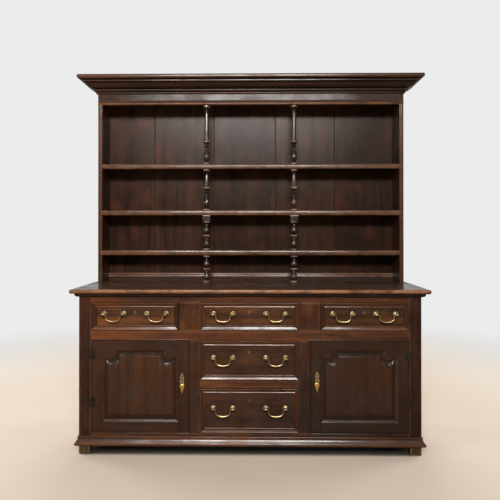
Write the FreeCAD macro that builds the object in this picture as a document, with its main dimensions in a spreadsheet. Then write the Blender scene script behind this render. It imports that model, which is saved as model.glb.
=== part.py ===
import FreeCAD, Part
import math
import operator
import os

import Sketcher

# A welsh dresser: a cupboard base with drawers, and an open plate rack that stands on its worktop.
# Millimetres. +Z is up, the front faces -Y, and the origin is on the floor under the middle.

doc = FreeCAD.newDocument("welsh_dresser")
Vector = FreeCAD.Vector

# Driving dimensions
SIZES = {
    # the worktop
    "worktop_width": 1830,
    "worktop_depth": 510,
    "worktop_top": 848,
    "worktop_thick": 22,
    "worktop_nose": 8,
    "worktop_under_nose": 5,
    "overhang": 38,
    "cove_size": 18,
    "cove_fillet": 3,
    # the frame of the base
    "post_width": 64,
    "post_depth": 45,
    "frame_thick": 30,
    "end_thick": 28,
    "foot_width": 57,
    "foot_high": 50,
    "bottom_rail_top": 111,
    "mid_rail_low": 583,
    "mid_rail_top": 635,
    "top_rail_low": 779,
    "drawer_rail_low": 340,
    "drawer_rail_top": 382,
    "centre_half": 253,
    "upper_muntin": 109,
    "lower_muntin": 57,
    "end_top_rail": 70,
    "groove_deep": 8,
    "groove_spare": 0.5,
    "tongue_thick": 6,
    "field_rise": 7,
    "end_bevel": 32,
    "end_panel_sunk": 14,
    "partition_thick": 18,
    "runner_wide": 30,
    "runner_high": 25,
    "guide_high": 20,
    "floor_thick": 18,
    "back_thick": 12,
    "back_set_in": 5,
    "back_foot": 60,
    "board_gap": 1.5,
    "plinth_low": 48,
    "plinth_high": 45,
    "plinth_reach": 20,
    "plinth_torus": 18,
    "plinth_bead": 6,
    "bead_wide": 8,
    "bead_proud": 3,
    # the drawers
    "drawer_gap": 1.5,
    "slide_gap": 0.4,
    "field_sunk": 4,
    "front_thick": 20,
    "side_thick": 10,
    "side_drop": 6,
    "bottom_thick": 8,
    "bottom_lift": 6,
    "drawer_back": 190,
    "frame_wide": 26,
    "frame_proud": 12,
    # the drawer handles
    "post_spacing": 100,
    "handle_lift": 12,
    "side_handle_from_middle": 110,
    "centre_handle_from_middle": 135,
    "rosette_radius": 14,
    "rosette_thick": 4,
    "stem_radius": 4,
    "head_size": 10,
    "pivot_out": 22,
    "wire_radius": 2.5,
    "pivot_play": 0.06,
    "bail_leg": 36,
    "bail_drop": 36,
    "bail_bend": 6,
    "bail_corner": 16,
    "bail_swell": 4.4,
    # the doors
    "door_gap": 2,
    "door_thick": 24,
    "door_sight": 182,
    "door_bottom_rail": 65,
    "door_top_rail": 56,
    "lobe_start": 118,
    "lobe_step": 16,
    "lobe_end": 36,
    "sticking_wide": 12,
    "sticking_deep": 9,
    "door_groove_in": 12,
    "panel_bevel_wide": 12,
    "panel_bevel_high": 22,
    "panel_step": 1.5,
    "hinge_high": 50,
    "upper_hinge": 487,
    "lower_hinge": 241,
    "hinge_out": 5,
    "barrel_radius": 4.5,
    "pin_radius": 2.2,
    "pin_play": 0.05,
    "finial_radius": 4,
    "finial_high": 9,
    "leaf_wide": 16,
    "leaf_thick": 2,
    "knuckle_gap": 0.4,
    "plate_high": 108,
    "plate_wide": 26,
    "plate_thick": 1.5,
    "plate_keyhole": 52,
    "keyhole_high": 367,
    "keyhole_stagger": 4.5,
    "lock_wide": 60,
    "lock_high": 100,
    "lock_thick": 16,
    # the plate rack
    "rack_width": 1754,
    "rack_depth": 163,
    "upright_thick": 23,
    "rack_top": 2025,
    "top_board": 15,
    "frieze_low": 1872,
    "frieze_thick": 30,
    "frieze_bead": 14,
    "back_joint_1": -582,
    "back_joint_2": -222,
    "back_joint_3": 151,
    "back_joint_4": 507,
    "cornice_low": 1934,
    "cornice_reach": 92,
    "cornice_start": 8,
    "cornice_bead": 9,
    "cornice_band": 16,
    "cornice_step": 5,
    "cornice_cove": 34,
    "cornice_lip": 25,
    "cornice_ledge": 16,
    "cornice_nose": 9,
    "shelf_thick": 28,
    "shelf_nose": 6,
    "housing_deep": 8,
    "shelf_top_1": 1531,
    "shelf_top_2": 1264,
    "shelf_top_3": 1034,
    "foot_rail_high": 46,
    "foot_rail_thick": 18,
    "spindle_from_middle": 253,
    "spindle_set_back": 28,
    "turning_radius": 19,
    "neck_radius": 6,
    "belly_radius": 17.5,
    "column_foot": 12.5,
    "column_head": 7.5,
    "reel_radius": 13.5,
    "turned_disc": 9,
    "vase_high": 78,
    "block_size": 46,
    "block_high": 32,
}

sheet = doc.addObject("Spreadsheet::Sheet", "dims")
for row, (alias, size) in enumerate(SIZES.items(), start=1):
    sheet.set("A%d" % row, alias)
    sheet.set("B%d" % row, str(size))
    sheet.setAlias("B%d" % row, alias)
doc.recompute()

OPERATIONS = {"+": operator.add, "-": operator.sub, "*": operator.mul, "/": operator.truediv}


class Size:
    """A length that carries its number and the sheet formula that it comes from."""

    def __init__(self, number, formula):
        self.number = number
        self.formula = formula

    def __add__(self, other):
        return joined(self, "+", other)

    def __radd__(self, other):
        return joined(other, "+", self)

    def __sub__(self, other):
        return joined(self, "-", other)

    def __rsub__(self, other):
        return joined(other, "-", self)

    def __mul__(self, other):
        return joined(self, "*", other)

    def __rmul__(self, other):
        return joined(other, "*", self)

    def __truediv__(self, other):
        return joined(self, "/", other)

    def __neg__(self):
        return joined(0, "-", self)


def as_size(value):
    """A plain number as a size, and a size as it is."""
    return value if isinstance(value, Size) else Size(value, repr(value))


def joined(left, sign, right):
    """Two sizes joined by one of the four operations."""
    left, right = as_size(left), as_size(right)
    number = OPERATIONS[sign](left.number, right.number)
    return Size(number, "(%s %s %s)" % (left.formula, sign, right.formula))


class Sheet:
    """The cells of the sheet as sizes, by name."""

    def __getattr__(self, alias):
        return Size(float(SIZES[alias]), "dims." + alias)


d = Sheet()


def bind(thing, place, size):
    """Ties one property of an object to the sheet."""
    thing.setExpression(place, as_size(size).formula)


def put(thing, x, y, z, axis=Vector(0, 0, 1), angle=0):
    """Turns an object about an axis and ties its place to the sheet."""
    thing.Placement = FreeCAD.Placement(Vector(), FreeCAD.Rotation(axis, angle))
    for name, size in zip("xyz", (x, y, z)):
        bind(thing, "Placement.Base." + name, size)
    return thing


# Sub-parts that become files, in order
NODES = []


def node(label, members):
    """One sub-part from one piece, or a group of separate pieces."""
    alone = len(members) == 1 and members[0].TypeId != "App::Link"
    if alone:
        piece = members[0]
    else:
        piece = doc.addObject("Part::Compound", label)
        piece.Links = members
    piece.Label = label
    NODES.append(piece)
    return piece


def board(name, x, y, z):
    """A squared timber; x, y and z are each a pair of limits."""
    timber = doc.addObject("Part::Box", name)
    for side, axis, (low, high) in zip(("Length", "Width", "Height"), "xyz", (x, y, z)):
        bind(timber, side, high - low)
        bind(timber, "Placement.Base." + axis, low)
    return timber


def mirrored(piece):
    """The same piece on the other side of the middle."""
    twin = doc.addObject("Part::Mirroring", piece.Name + "_twin")
    twin.Source = piece
    twin.Base = Vector(0, 0, 0)
    twin.Normal = Vector(1, 0, 0)
    return twin


def pair(piece):
    """A piece and its mirror image."""
    return [piece, mirrored(piece)]


def cut(name, base, tool):
    """One piece with another taken out of it."""
    result = doc.addObject("Part::Cut", name)
    result.Base = base
    result.Tool = tool
    return result


def fused(name, pieces):
    """Several pieces made one."""
    result = doc.addObject("Part::MultiFuse", name)
    result.Shapes = pieces
    return result


def new_body(name):
    return doc.addObject("PartDesign::Body", name)


# Arcs are given by their bulge, the tangent of a quarter of the angle, positive when turning left
QUARTER_LEFT = math.tan(math.pi / 8)
QUARTER_RIGHT = -QUARTER_LEFT


def arc_edge(start, end, bulge):
    """A circular arc from start to end, kept anticlockwise as sketches keep it."""
    chord = end - start
    radius = chord.Length * (1 + bulge * bulge) / (4 * abs(bulge))
    across = Vector(-chord.y, chord.x, 0).normalize()
    reach = chord.Length * (1 - bulge * bulge) / (4 * bulge)
    centre = (start + end) * 0.5 + across * reach
    first, last = (start, end) if bulge > 0 else (end, start)
    angles = [math.atan2(point.y - centre.y, point.x - centre.x) for point in (first, last)]
    circle = Part.Circle(centre, Vector(0, 0, 1), radius)
    return Part.ArcOfCircle(circle, angles[0], angles[1])


def arc_radius(start, end, bulge):
    """The radius of such an arc as a size."""
    wide = as_size(end[0]) - start[0]
    high = as_size(end[1]) - start[1]
    chord = math.hypot(wide.number, high.number)
    factor = (1 + bulge * bulge) / (4 * abs(bulge))
    formula = "sqrt(%s^2 + %s^2) * %r" % (wide.formula, high.formula, factor)
    return Size(chord * factor, formula)


def draw(body, plane, steps, offset=None, closed=True):
    """An outline on one of the body's own planes, every corner tied to the sheet.

    A step is (across, up) for a straight run to that point, or (across, up, bulge) for an arc.
    """
    sketch = body.newObject("Sketcher::SketchObject", body.Name + "_outline")
    origin = [part for part in body.Origin.OriginFeatures if part.Role == plane][0]
    sketch.AttachmentSupport = [(origin, "")]
    sketch.MapMode = "FlatFace"
    if offset is not None:
        bind(sketch, "AttachmentOffset.Base.z", offset)
    corners = [Vector(as_size(step[0]).number, as_size(step[1]).number, 0) for step in steps]
    runs = range(len(steps)) if closed else range(1, len(steps))
    ends = {}
    for index in runs:
        step = steps[index]
        straight = len(step) == 2
        if straight:
            edge = Part.LineSegment(corners[index - 1], corners[index])
        else:
            edge = arc_edge(corners[index - 1], corners[index], step[2])
        place = sketch.addGeometry(edge, False)
        ends[index] = (place, 1, 2) if straight or step[2] > 0 else (place, 2, 1)

    def hold(place, point, size_pair):
        for kind, size in zip(("DistanceX", "DistanceY"), size_pair):
            size = as_size(size)
            number = sketch.addConstraint(Sketcher.Constraint(kind, -1, 1, place, point, size.number))
            bind(sketch, "Constraints[%d]" % number, size)

    if not closed:
        hold(ends[1][0], ends[1][1], steps[0][:2])
    for index in runs:
        step = steps[index]
        place, first, last = ends[index]
        following = (index + 1) % len(steps)
        if following in ends:
            after, after_first, after_last = ends[following]
            sketch.addConstraint(Sketcher.Constraint("Coincident", place, last, after, after_first))
        hold(place, last, step[:2])
        if len(step) == 3:
            radius = arc_radius(steps[index - 1], step, step[2])
            number = sketch.addConstraint(Sketcher.Constraint("Radius", place, radius.number))
            bind(sketch, "Constraints[%d]" % number, radius)
    return sketch


def pad(body, sketch, length, backwards=False, both_ways=False):
    """A solid drawn out from a sketch."""
    feature = body.newObject("PartDesign::Pad", body.Name + "_pad")
    feature.Profile = sketch
    feature.Reversed = backwards
    if both_ways:
        feature.SideType = "Symmetric"
    bind(feature, "Length", length)
    return feature


def pocket(body, sketch):
    """A cut right through the body, both ways from its sketch."""
    feature = body.newObject("PartDesign::Pocket", body.Name + "_pocket")
    feature.Profile = sketch
    feature.Type = "ThroughAll"
    feature.SideType = "Symmetric"
    return feature


def chords(steps, count):
    """The same outline with each arc drawn as a few straight chords."""
    outline = []
    for index, step in enumerate(steps):
        if len(step) == 3:
            start = steps[index - 1]
            wide = as_size(step[0]) - start[0]
            high = as_size(step[1]) - start[1]
            turn = 4 * math.atan(step[2])
            radius = 1 / (2 * math.sin(turn / 2))
            for part in range(1, count):
                angle = turn * (part / count - 0.5)
                along = 0.5 + radius * math.sin(angle)
                aside = radius * (math.cos(turn / 2) - math.cos(angle))
                across = wide * along - high * aside + start[0]
                up = high * along + wide * aside + start[1]
                outline.append((across, up))
        outline.append(step[:2])
    return outline


def again(piece, x, y, z, axis=Vector(0, 0, 1), angle=0):
    """The same piece in another place."""
    copy = doc.addObject("App::Link", piece.Name + "_copy")
    copy.LinkedObject = piece
    return put(copy, x, y, z, axis, angle)


# Turned work repeats many times, so it is drawn with a few flats round it
FLATS = 10


def turned(name, steps, flats=FLATS):
    """A lathe-turned solid that stands on the origin; its outline is (radius, height) steps.

    It is what is common to its own outline drawn through from several sides, with its corners on the round.
    """
    right = [(radius * math.cos(math.pi / flats), high) for radius, high in steps]
    left = [(-half, high) for half, high in reversed(right)]
    widest = max((half for half, high in right), key=lambda size: size.number)
    body = new_body(name + "_outline")
    pad(body, draw(body, "XZ_Plane", right + left), widest * 4, both_ways=True)
    sides = flats // 2
    views = [body]
    for side in range(1, sides):
        views.append(again(body, 0, 0, 0, angle=side * 180 / sides))
    solid = doc.addObject("Part::MultiCommon", name)
    solid.Shapes = views
    return solid


def prism(name, radius, length, flats=FLATS):
    """A bar of one thickness, drawn like the turned work."""
    bar = doc.addObject("Part::Prism", name)
    bar.Polygon = flats
    bind(bar, "Circumradius", radius)
    bind(bar, "Height", length)
    return bar


def bored(radius):
    """The corner radius of a hole whose flats leave room for a round of this radius."""
    return radius / math.cos(math.pi / FLATS)


# How far a waste piece of a mitre cut runs past the moulding, and the flats in each curve of a moulding
MITRE_SPARE = 1
MOULDING_CHORDS = 4


def length_of_moulding(name, section, run, reach, ends, flat):
    """A straight length of moulding along X, with "mitre" or "square" ends and its curves in short flats.

    The section is drawn in Y and Z. A flat mitre turns a corner in the plane of the face, as on a
    picture frame; any other turns round an outer corner, as on a cornice.
    """
    body = new_body(name)
    spare = as_size(0) if flat else reach
    start = -spare if ends[0] == "mitre" else as_size(0)
    finish = run + spare if ends[1] == "mitre" else run
    pad(body, draw(body, "YZ_Plane", chords(section, MOULDING_CHORDS), start), finish - start)
    plane = "XZ_Plane" if flat else "XY_Plane"
    far = reach + MITRE_SPARE if flat else -reach - MITRE_SPARE
    near = -MITRE_SPARE if flat else MITRE_SPARE
    waste = [(near, near), (far, far), (near, far) if flat else (far, near)]
    if ends[0] == "mitre":
        pocket(body, draw(body, plane, waste))
    if ends[1] == "mitre":
        pocket(body, draw(body, plane, [(run - across, up) for across, up in waste]))
    return body


def frame_of_moulding(name, section, wide, high, reach, x, y, z):
    """Four mitred lengths round a rectangle that faces the front, from its lower left corner."""
    ends = ("mitre", "mitre")
    up = Vector(0, 1, 0)
    lengths = [
        (wide, x, z, 0),
        (high, x + wide, z, -90),
        (wide, x + wide, z + high, 180),
        (high, x, z + high, 90),
    ]
    pieces = []
    for run, across, height, angle in lengths:
        piece = length_of_moulding(name, section, run, reach, ends, True)
        pieces.append(put(piece, across, y, height, up, angle))
    return pieces


def round_three_sides(name, section, reach, half, front, back, z):
    """A front length and two returns that run back to the wall, mitred at the two front corners."""
    ahead = length_of_moulding(name + "_front", section, half * 2, reach, ("mitre", "mitre"), False)
    put(ahead, -half, front, z)
    right = length_of_moulding(name + "_end", section, back - front, reach, ("mitre", "square"), False)
    put(right, half, front, z, angle=90)
    return [ahead] + pair(right)


def fielded_panel(name, outline, bevel_wide, bevel_high):
    """A panel in the XZ plane that faces -Y: a tongue all round, a bevel and a raised flat field.

    The outline is a function of how far it is moved out sideways and up from the sight line.
    """
    body = new_body(name)
    tongue = d.groove_deep - d.groove_spare
    pad(body, draw(body, "XZ_Plane", outline(tongue, tongue)), d.tongue_thick, backwards=True)
    field = outline(-bevel_wide, -bevel_high)
    loft = body.newObject("PartDesign::AdditiveLoft", name + "_bevel")
    loft.Profile = draw(body, "XZ_Plane", outline(as_size(0), as_size(0)))
    loft.Sections = [draw(body, "XZ_Plane", field, d.field_rise)]
    loft.Ruled = True
    pad(body, draw(body, "XZ_Plane", field, d.field_rise), d.panel_step)
    return body


def groove_plate(name, outline):
    """The waste of the groove that holds such a panel."""
    body = new_body(name)
    pad(body, draw(body, "XZ_Plane", outline(d.groove_deep, d.groove_deep)), d.tongue_thick, backwards=True)
    return body


# Main levels and limits of the base
half_top = d.worktop_width / 2
front_edge = -(d.worktop_depth / 2)
back_edge = d.worktop_depth / 2
face = front_edge + d.overhang
half_base = half_top - d.overhang
under_top = d.worktop_top - d.worktop_thick
frame_back = face + d.frame_thick
post_in = half_base - d.post_width
post_back = face + d.post_depth
rear = back_edge - d.back_set_in
rear_face = rear - d.back_thick
back_post = rear_face - d.post_depth
end_in = half_base - d.end_thick
opening_in = d.centre_half + d.lower_muntin


def edges_where(feature, test):
    """Names of the edges whose middle passes a test."""
    names = enumerate(feature.Shape.Edges, start=1)
    return ["Edge%d" % number for number, edge in names if test(edge.CenterOfMass)]


def worktop():
    """The board on top of the base, with its front and end edges rounded above and below."""
    body = new_body("worktop")
    corners = [(-half_top, front_edge), (half_top, front_edge), (half_top, back_edge), (-half_top, back_edge)]
    slab = pad(body, draw(body, "XY_Plane", corners), d.worktop_thick)
    doc.recompute()
    near = 0.01

    def shown(point):
        return abs(point.x) > half_top.number - near or point.y < front_edge.number + near

    def upper(point):
        return shown(point) and point.z > d.worktop_thick.number - near

    def lower(point):
        return shown(point) and point.z < near

    nose = body.newObject("PartDesign::Fillet", "worktop_upper_nose")
    nose.Base = (slab, edges_where(slab, upper))
    bind(nose, "Radius", d.worktop_nose)
    doc.recompute()
    under = body.newObject("PartDesign::Fillet", "worktop_lower_nose")
    under.Base = (nose, edges_where(nose, lower))
    bind(under, "Radius", d.worktop_under_nose)
    put(body, 0, 0, under_top)
    node("worktop", [body])


def worktop_cove():
    """A hollow moulding in the angle under the worktop."""
    section = [
        (0, 0),
        (-d.cove_fillet, 0),
        (-d.cove_size, d.cove_size - d.cove_fillet, QUARTER_LEFT),
        (-d.cove_size, d.cove_size),
        (0, d.cove_size),
    ]
    low = under_top - d.cove_size
    node("worktop_cove", round_three_sides("cove", section, d.cove_size, half_base, face, rear_face, low))


def end_frames():
    """Each end: posts and rails that hold two fielded panels in grooves."""
    middle = (post_back + back_post) / 2
    half_wide = (back_post - post_back) / 2
    panel_face = half_base - d.end_panel_sunk
    levels = [(d.bottom_rail_top, d.mid_rail_low), (d.mid_rail_top, under_top - d.end_top_rail)]
    panels = []
    grooves = []
    for low, high in levels:
        half_high = (high - low) / 2

        def outline(aside, up, half_high=half_high):
            wide = half_wide + aside
            tall = half_high + up
            return [(-wide, -tall), (wide, -tall), (wide, tall), (-wide, tall)]

        place = (panel_face, middle, (low + high) / 2)
        panel = fielded_panel("end_panel", outline, d.end_bevel, d.end_bevel)
        panels += pair(put(panel, *place, angle=90))
        grooves.append(put(groove_plate("end_groove", outline), *place, angle=90))
    waste = doc.addObject("Part::Compound", "end_grooves")
    waste.Links = grooves
    posts = []
    tall = (d.foot_high, under_top)
    for deep in ((face, post_back), (back_post, rear_face)):
        post = board("corner_post", (post_in, half_base), deep, tall)
        posts += pair(cut("corner_post_grooved", post, waste))
    rails = []
    heights = [(d.foot_high, d.bottom_rail_top), (d.mid_rail_low, d.mid_rail_top)]
    for high in heights + [(under_top - d.end_top_rail, under_top)]:
        rail = board("end_rail", (end_in, half_base), (post_back, back_post), high)
        rails += pair(cut("end_rail_grooved", rail, waste))
    node("corner_posts", posts)
    node("end_rails", rails)
    node("end_panels", panels)


def front_frame():
    """Rails and muntins of the front, and the rails of the back."""
    deep = (face, frame_back)
    across = (-post_in, post_in)
    rails = [
        board("top_rail", across, deep, (d.top_rail_low, under_top)),
        board("middle_rail", across, deep, (d.mid_rail_low, d.mid_rail_top)),
        board("bottom_rail", across, deep, (d.foot_high, d.bottom_rail_top)),
        board("drawer_rail", (-d.centre_half, d.centre_half), deep, (d.drawer_rail_low, d.drawer_rail_top)),
    ]
    node("front_rails", rails)
    upper = (d.centre_half, d.centre_half + d.upper_muntin)
    lower = (d.centre_half, opening_in)
    muntins = pair(board("upper_muntin_piece", upper, deep, (d.mid_rail_top, d.top_rail_low)))
    muntins += pair(board("lower_muntin_piece", lower, deep, (d.bottom_rail_top, d.mid_rail_low)))
    node("muntins", muntins)
    behind = (rear_face - d.frame_thick, rear_face)
    floor_low = d.bottom_rail_top - d.floor_thick
    back_rails = [
        board("back_top_rail", across, behind, (d.top_rail_low, under_top)),
        board("back_bottom_rail", across, behind, (d.foot_high, floor_low)),
    ]
    node("back_rails", back_rails)


def inside_of_base():
    """Partitions, the cupboard floor, and the runners and guides that the drawers slide on."""
    long_way = (frame_back, rear_face)
    partition_in = d.centre_half + (d.lower_muntin - d.partition_thick) / 2
    runner_low = d.mid_rail_top - d.runner_high
    partition = board(
        "partition",
        (partition_in, partition_in + d.partition_thick),
        long_way,
        (d.bottom_rail_top, runner_low))
    node("partitions", pair(partition))
    floor_low = d.bottom_rail_top - d.floor_thick
    floor = board("floor_boards", (-end_in, end_in), long_way, (floor_low, d.bottom_rail_top))
    posts = [piece for piece in NODES if piece.Label == "corner_posts"][0]
    node("cupboard_floor", [cut("floor_notched", floor, posts)])
    upper = (runner_low, d.mid_rail_top)
    beside = (d.mid_rail_top, d.mid_rail_top + d.guide_high)
    between = (d.centre_half, d.centre_half + d.upper_muntin)
    middle = (between[0] - d.runner_wide, between[1] + d.runner_wide)
    near_partition = (d.centre_half, partition_in)
    drawer_run = (d.drawer_rail_top - d.runner_high, d.drawer_rail_top)
    timbers = [
        board("end_runner", (post_in - d.runner_wide, post_in), long_way, upper),
        board(
            "end_guide",
            (post_in, post_in + d.runner_wide / 2),
            (post_back, back_post),
            (runner_low, beside[1])),
        board("middle_runner", middle, long_way, upper),
        board("middle_guide", between, long_way, beside),
        board("drawer_runner", (d.centre_half - d.runner_wide, partition_in), long_way, drawer_run),
        board("drawer_guide", near_partition, long_way, (drawer_run[1], drawer_run[1] + d.guide_high)),
        board("floor_guide", near_partition, long_way, (d.bottom_rail_top, d.bottom_rail_top + d.guide_high)),
    ]
    node("drawer_runners", [piece for timber in timbers for piece in pair(timber)])


def row_of_boards(name, joints, deep, tall):
    """Upright backboards side by side, with a narrow shrinkage gap at each joint."""
    boards = []
    for left, right in zip(joints[:-1], joints[1:]):
        boards.append(board(name, (left + d.board_gap / 2, right - d.board_gap / 2), deep, tall))
    return boards


def base_backboards():
    """Five boards of one width, nailed to the back rails and posts."""
    count = 5
    joints = [half_base * (2 * place / count - 1) for place in range(count + 1)]
    deep = (rear_face, rear)
    node("base_backboards", row_of_boards("base_backboard", joints, deep, (d.back_foot, under_top)))


def plinth_and_feet():
    """The moulding round the foot of the base, and the blocks that it stands on."""
    torus_bulge = -0.45
    cove_bulge = 0.25
    shoulder = d.plinth_reach - d.plinth_torus / 4
    section = [
        (0, 0),
        (-shoulder, 0),
        (-shoulder, d.plinth_torus, torus_bulge),
        (-d.plinth_reach / 4, d.plinth_high - d.plinth_bead, cove_bulge),
        (-d.plinth_reach / 4, d.plinth_high),
        (0, d.plinth_high),
    ]
    lengths = round_three_sides("plinth", section, d.plinth_reach, half_base, face, rear_face, d.plinth_low)
    node("plinth_moulding", lengths)
    feet = []
    for deep in ((face, post_back), (back_post, rear_face)):
        feet += pair(board("foot", (half_base - d.foot_width, half_base), deep, (as_size(0), d.foot_high)))
    node("feet", feet)


def door_beads():
    """A half-round bead on the frame along three sides of each door opening."""
    flat = d.bead_wide / 4
    section = [(0, 0), (-d.bead_proud, flat), (-d.bead_proud, d.bead_wide - flat), (0, d.bead_wide)]
    left = opening_in - d.bead_wide
    low = d.bottom_rail_top - d.bead_wide
    high = d.mid_rail_low + d.bead_wide
    turn = Vector(0, 1, 0)
    run = post_in - left
    below = length_of_moulding("bead_below", section, run, d.bead_wide, ("mitre", "square"), True)
    above = length_of_moulding("bead_above", section, run, d.bead_wide, ("square", "mitre"), True)
    beside = length_of_moulding("bead_beside", section, high - low, d.bead_wide, ("mitre", "mitre"), True)
    put(below, left, face, low)
    put(above, post_in, face, high, turn, 180)
    put(beside, left, face, high, turn, 90)
    node("door_beads", [piece for bead in (below, above, beside) for piece in pair(bead)])


worktop()
worktop_cove()
end_frames()
front_frame()
inside_of_base()
base_backboards()
plinth_and_feet()
door_beads()


# Main levels and limits of the rack
rack_half = d.rack_width / 2
rack_front = back_edge - d.rack_depth
rack_back = back_edge - d.back_thick
rack_in = rack_half - d.upright_thick
board_under = d.rack_top - d.top_board


def along_x(name, section, half):
    """A moulded board that runs the same distance both ways from the middle."""
    body = new_body(name)
    pad(body, draw(body, "YZ_Plane", section, -half), half * 2)
    return body


def rack_shelves():
    """Three shelves with a rounded front edge, housed into the uprights."""
    nose = rack_front + d.shelf_nose
    section = [
        (rack_back, 0),
        (rack_back, d.shelf_thick),
        (nose, d.shelf_thick),
        (rack_front, d.shelf_thick - d.shelf_nose),
        (rack_front, d.shelf_nose),
        (nose, 0),
    ]
    shelves = []
    for top in (d.shelf_top_1, d.shelf_top_2, d.shelf_top_3):
        shelf = along_x("rack_shelf", section, rack_in + d.housing_deep)
        shelves.append(put(shelf, 0, 0, top - d.shelf_thick))
    return node("rack_shelves", shelves)


def rack_uprights(shelves):
    """Two side boards, notched for the frieze and trenched for the shelf ends."""
    body = new_body("rack_upright")
    notch = rack_front + d.frieze_thick
    side = [
        (rack_front, d.worktop_top),
        (rack_back, d.worktop_top),
        (rack_back, board_under),
        (notch, board_under),
        (notch, d.frieze_low),
        (rack_front, d.frieze_low),
    ]
    pad(body, draw(body, "YZ_Plane", side, rack_in), d.upright_thick)
    node("rack_uprights", pair(cut("rack_upright_trenched", body, shelves)))


def frieze_and_top():
    """The board over the shelves with a bead along its foot, the top board, and the low back rail."""
    bead_bulge = 0.5
    notch = rack_front + d.frieze_thick
    frieze = [
        (notch, d.frieze_low),
        (notch, board_under),
        (rack_front, board_under),
        (rack_front, d.frieze_low + d.frieze_bead),
        (rack_front, d.frieze_low, bead_bulge),
    ]
    node("frieze_board", [along_x("frieze", frieze, rack_half)])
    across = (-rack_half, rack_half)
    deep = (rack_front, back_edge)
    node("rack_top_board", [board("top_board_piece", across, deep, (board_under, d.rack_top))])
    rail_front = rack_back - d.foot_rail_thick
    rail_top = d.worktop_top + d.foot_rail_high
    rail = [
        (rack_back, d.worktop_top),
        (rack_back, rail_top),
        (rail_front + d.shelf_nose, rail_top),
        (rail_front, rail_top - d.shelf_nose, QUARTER_LEFT),
        (rail_front, d.worktop_top),
    ]
    node("rack_bottom_rail", [along_x("low_rail", rail, rack_in)])


def cornice():
    """The crowning moulding: bead, band, hollow, fillet and a rounded lip."""
    bead_bulge = -0.55
    hollow_bulge = 0.3
    high = d.rack_top - d.cornice_low
    band_low = d.cornice_bead
    hollow_low = band_low + d.cornice_band
    hollow_top = hollow_low + d.cornice_cove
    lip_low = high - d.cornice_lip
    band_out = d.cornice_start + d.cornice_step
    hollow_out = d.cornice_reach - d.cornice_ledge
    section = [
        (0, 0),
        (-d.cornice_start, 0),
        (-d.cornice_start, band_low, bead_bulge),
        (-band_out, band_low),
        (-band_out, hollow_low),
        (-band_out - d.cornice_step, hollow_low),
        (-hollow_out, hollow_top, hollow_bulge),
        (-hollow_out, lip_low),
        (-d.cornice_reach + d.cornice_nose, lip_low),
        (-d.cornice_reach, lip_low + d.cornice_nose, QUARTER_RIGHT),
        (-d.cornice_reach, high - d.cornice_nose),
        (-d.cornice_reach + d.cornice_nose, high, QUARTER_RIGHT),
        (0, high),
    ]
    lengths = round_three_sides(
        "cornice", section, d.cornice_reach, rack_half, rack_front, back_edge, d.cornice_low)
    node("cornice", lengths)


def rack_backboards():
    """Five wide upright boards behind the shelves, of uneven width."""
    joints = [-rack_half, d.back_joint_1, d.back_joint_2, d.back_joint_3, d.back_joint_4, rack_half]
    deep = (rack_back, back_edge)
    node("rack_backboards", row_of_boards("rack_backboard", joints, deep, (d.worktop_top, board_under)))


# A turned vase: shares of its height, and of its belly's radius there
VASE = ((0.16, 0.84), (0.34, 1.0), (0.62, 0.66), (1.0, 0.34))


def vase(foot, high):
    """Turning steps of a vase that stands at a given height."""
    return [(d.belly_radius * wide, foot + high * up) for up, wide in VASE]


def disc(low, radius, throat):
    """Turning steps of a disc with a cone above it."""
    return [(radius, low), (radius, low + d.turned_disc), (throat, low + d.turned_disc * 1.5)]


def column_spindle(high):
    """A turned spindle: base, vase, reel, collar, tapering column, bead and cap."""
    vase_foot = d.turned_disc * 1.5
    reel_low = vase_foot + d.vase_high + d.turned_disc / 2
    collar_low = reel_low + d.turned_disc * 2
    cap_low = high - d.turned_disc
    column_top = cap_low - d.turned_disc * 2
    steps = disc(as_size(0), d.turning_radius, d.neck_radius * 1.3)
    steps += vase(vase_foot, d.vase_high)
    steps += disc(reel_low, d.reel_radius, d.neck_radius * 1.3)
    steps += disc(collar_low, d.turning_radius, d.column_foot)
    steps += [
        (d.column_head, column_top),
        (d.reel_radius, column_top + d.turned_disc),
        (d.column_head, column_top + d.turned_disc * 1.5),
        (d.turning_radius, cap_low),
        (d.turning_radius, high),
    ]
    return turned("spindle", steps)


def double_vase_spindle(high):
    """A short turned spindle: base ring, two vases with a ring between them, and a cap."""
    vase_foot = d.turned_disc * 1.5
    cap_low = high - d.turned_disc
    vase_high = (cap_low - vase_foot * 2 - d.turned_disc) / 2
    ring_low = vase_foot + vase_high + d.turned_disc / 2
    steps = disc(as_size(0), d.turning_radius, d.neck_radius * 1.3)
    steps += vase(vase_foot, vase_high)
    steps += disc(ring_low, d.reel_radius, d.neck_radius * 1.3)
    steps += vase(ring_low + d.turned_disc * 1.5, vase_high)
    steps += [(d.turning_radius, cap_low), (d.turning_radius, high)]
    return turned("spindle", steps)


def block_spindle(high):
    """A double vase under a square block."""
    shaft = double_vase_spindle(high - d.block_high)
    half = d.block_size / 2
    block = board("spindle_block", (-half, half), (-half, half), (high - d.block_high, high))
    return fused("spindle_with_block", [shaft, block])


def rack_spindles():
    """Two columns of spindles, one in each tier."""
    tiers = [
        (column_spindle, d.shelf_top_1, d.frieze_low),
        (column_spindle, d.shelf_top_2, d.shelf_top_1 - d.shelf_thick),
        (block_spindle, d.shelf_top_3, d.shelf_top_2 - d.shelf_thick),
        (double_vase_spindle, d.worktop_top, d.shelf_top_3 - d.shelf_thick),
    ]
    spindles = []
    for make, low, high in tiers:
        spindle = make(high - low)
        spindles += pair(put(spindle, d.spindle_from_middle, rack_front + d.spindle_set_back, low))
    node("rack_spindles", spindles)


rack_uprights(rack_shelves())
frieze_and_top()
cornice()
rack_backboards()
rack_spindles()


# Drawers
field_face = face + d.field_sunk

# A bail's wire has eight flats inside its round, and a post's stem has six
WIRE_FLATS = 8
STEM_FLATS = 6
bail_flat = d.wire_radius * math.cos(math.pi / WIRE_FLATS)


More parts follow.
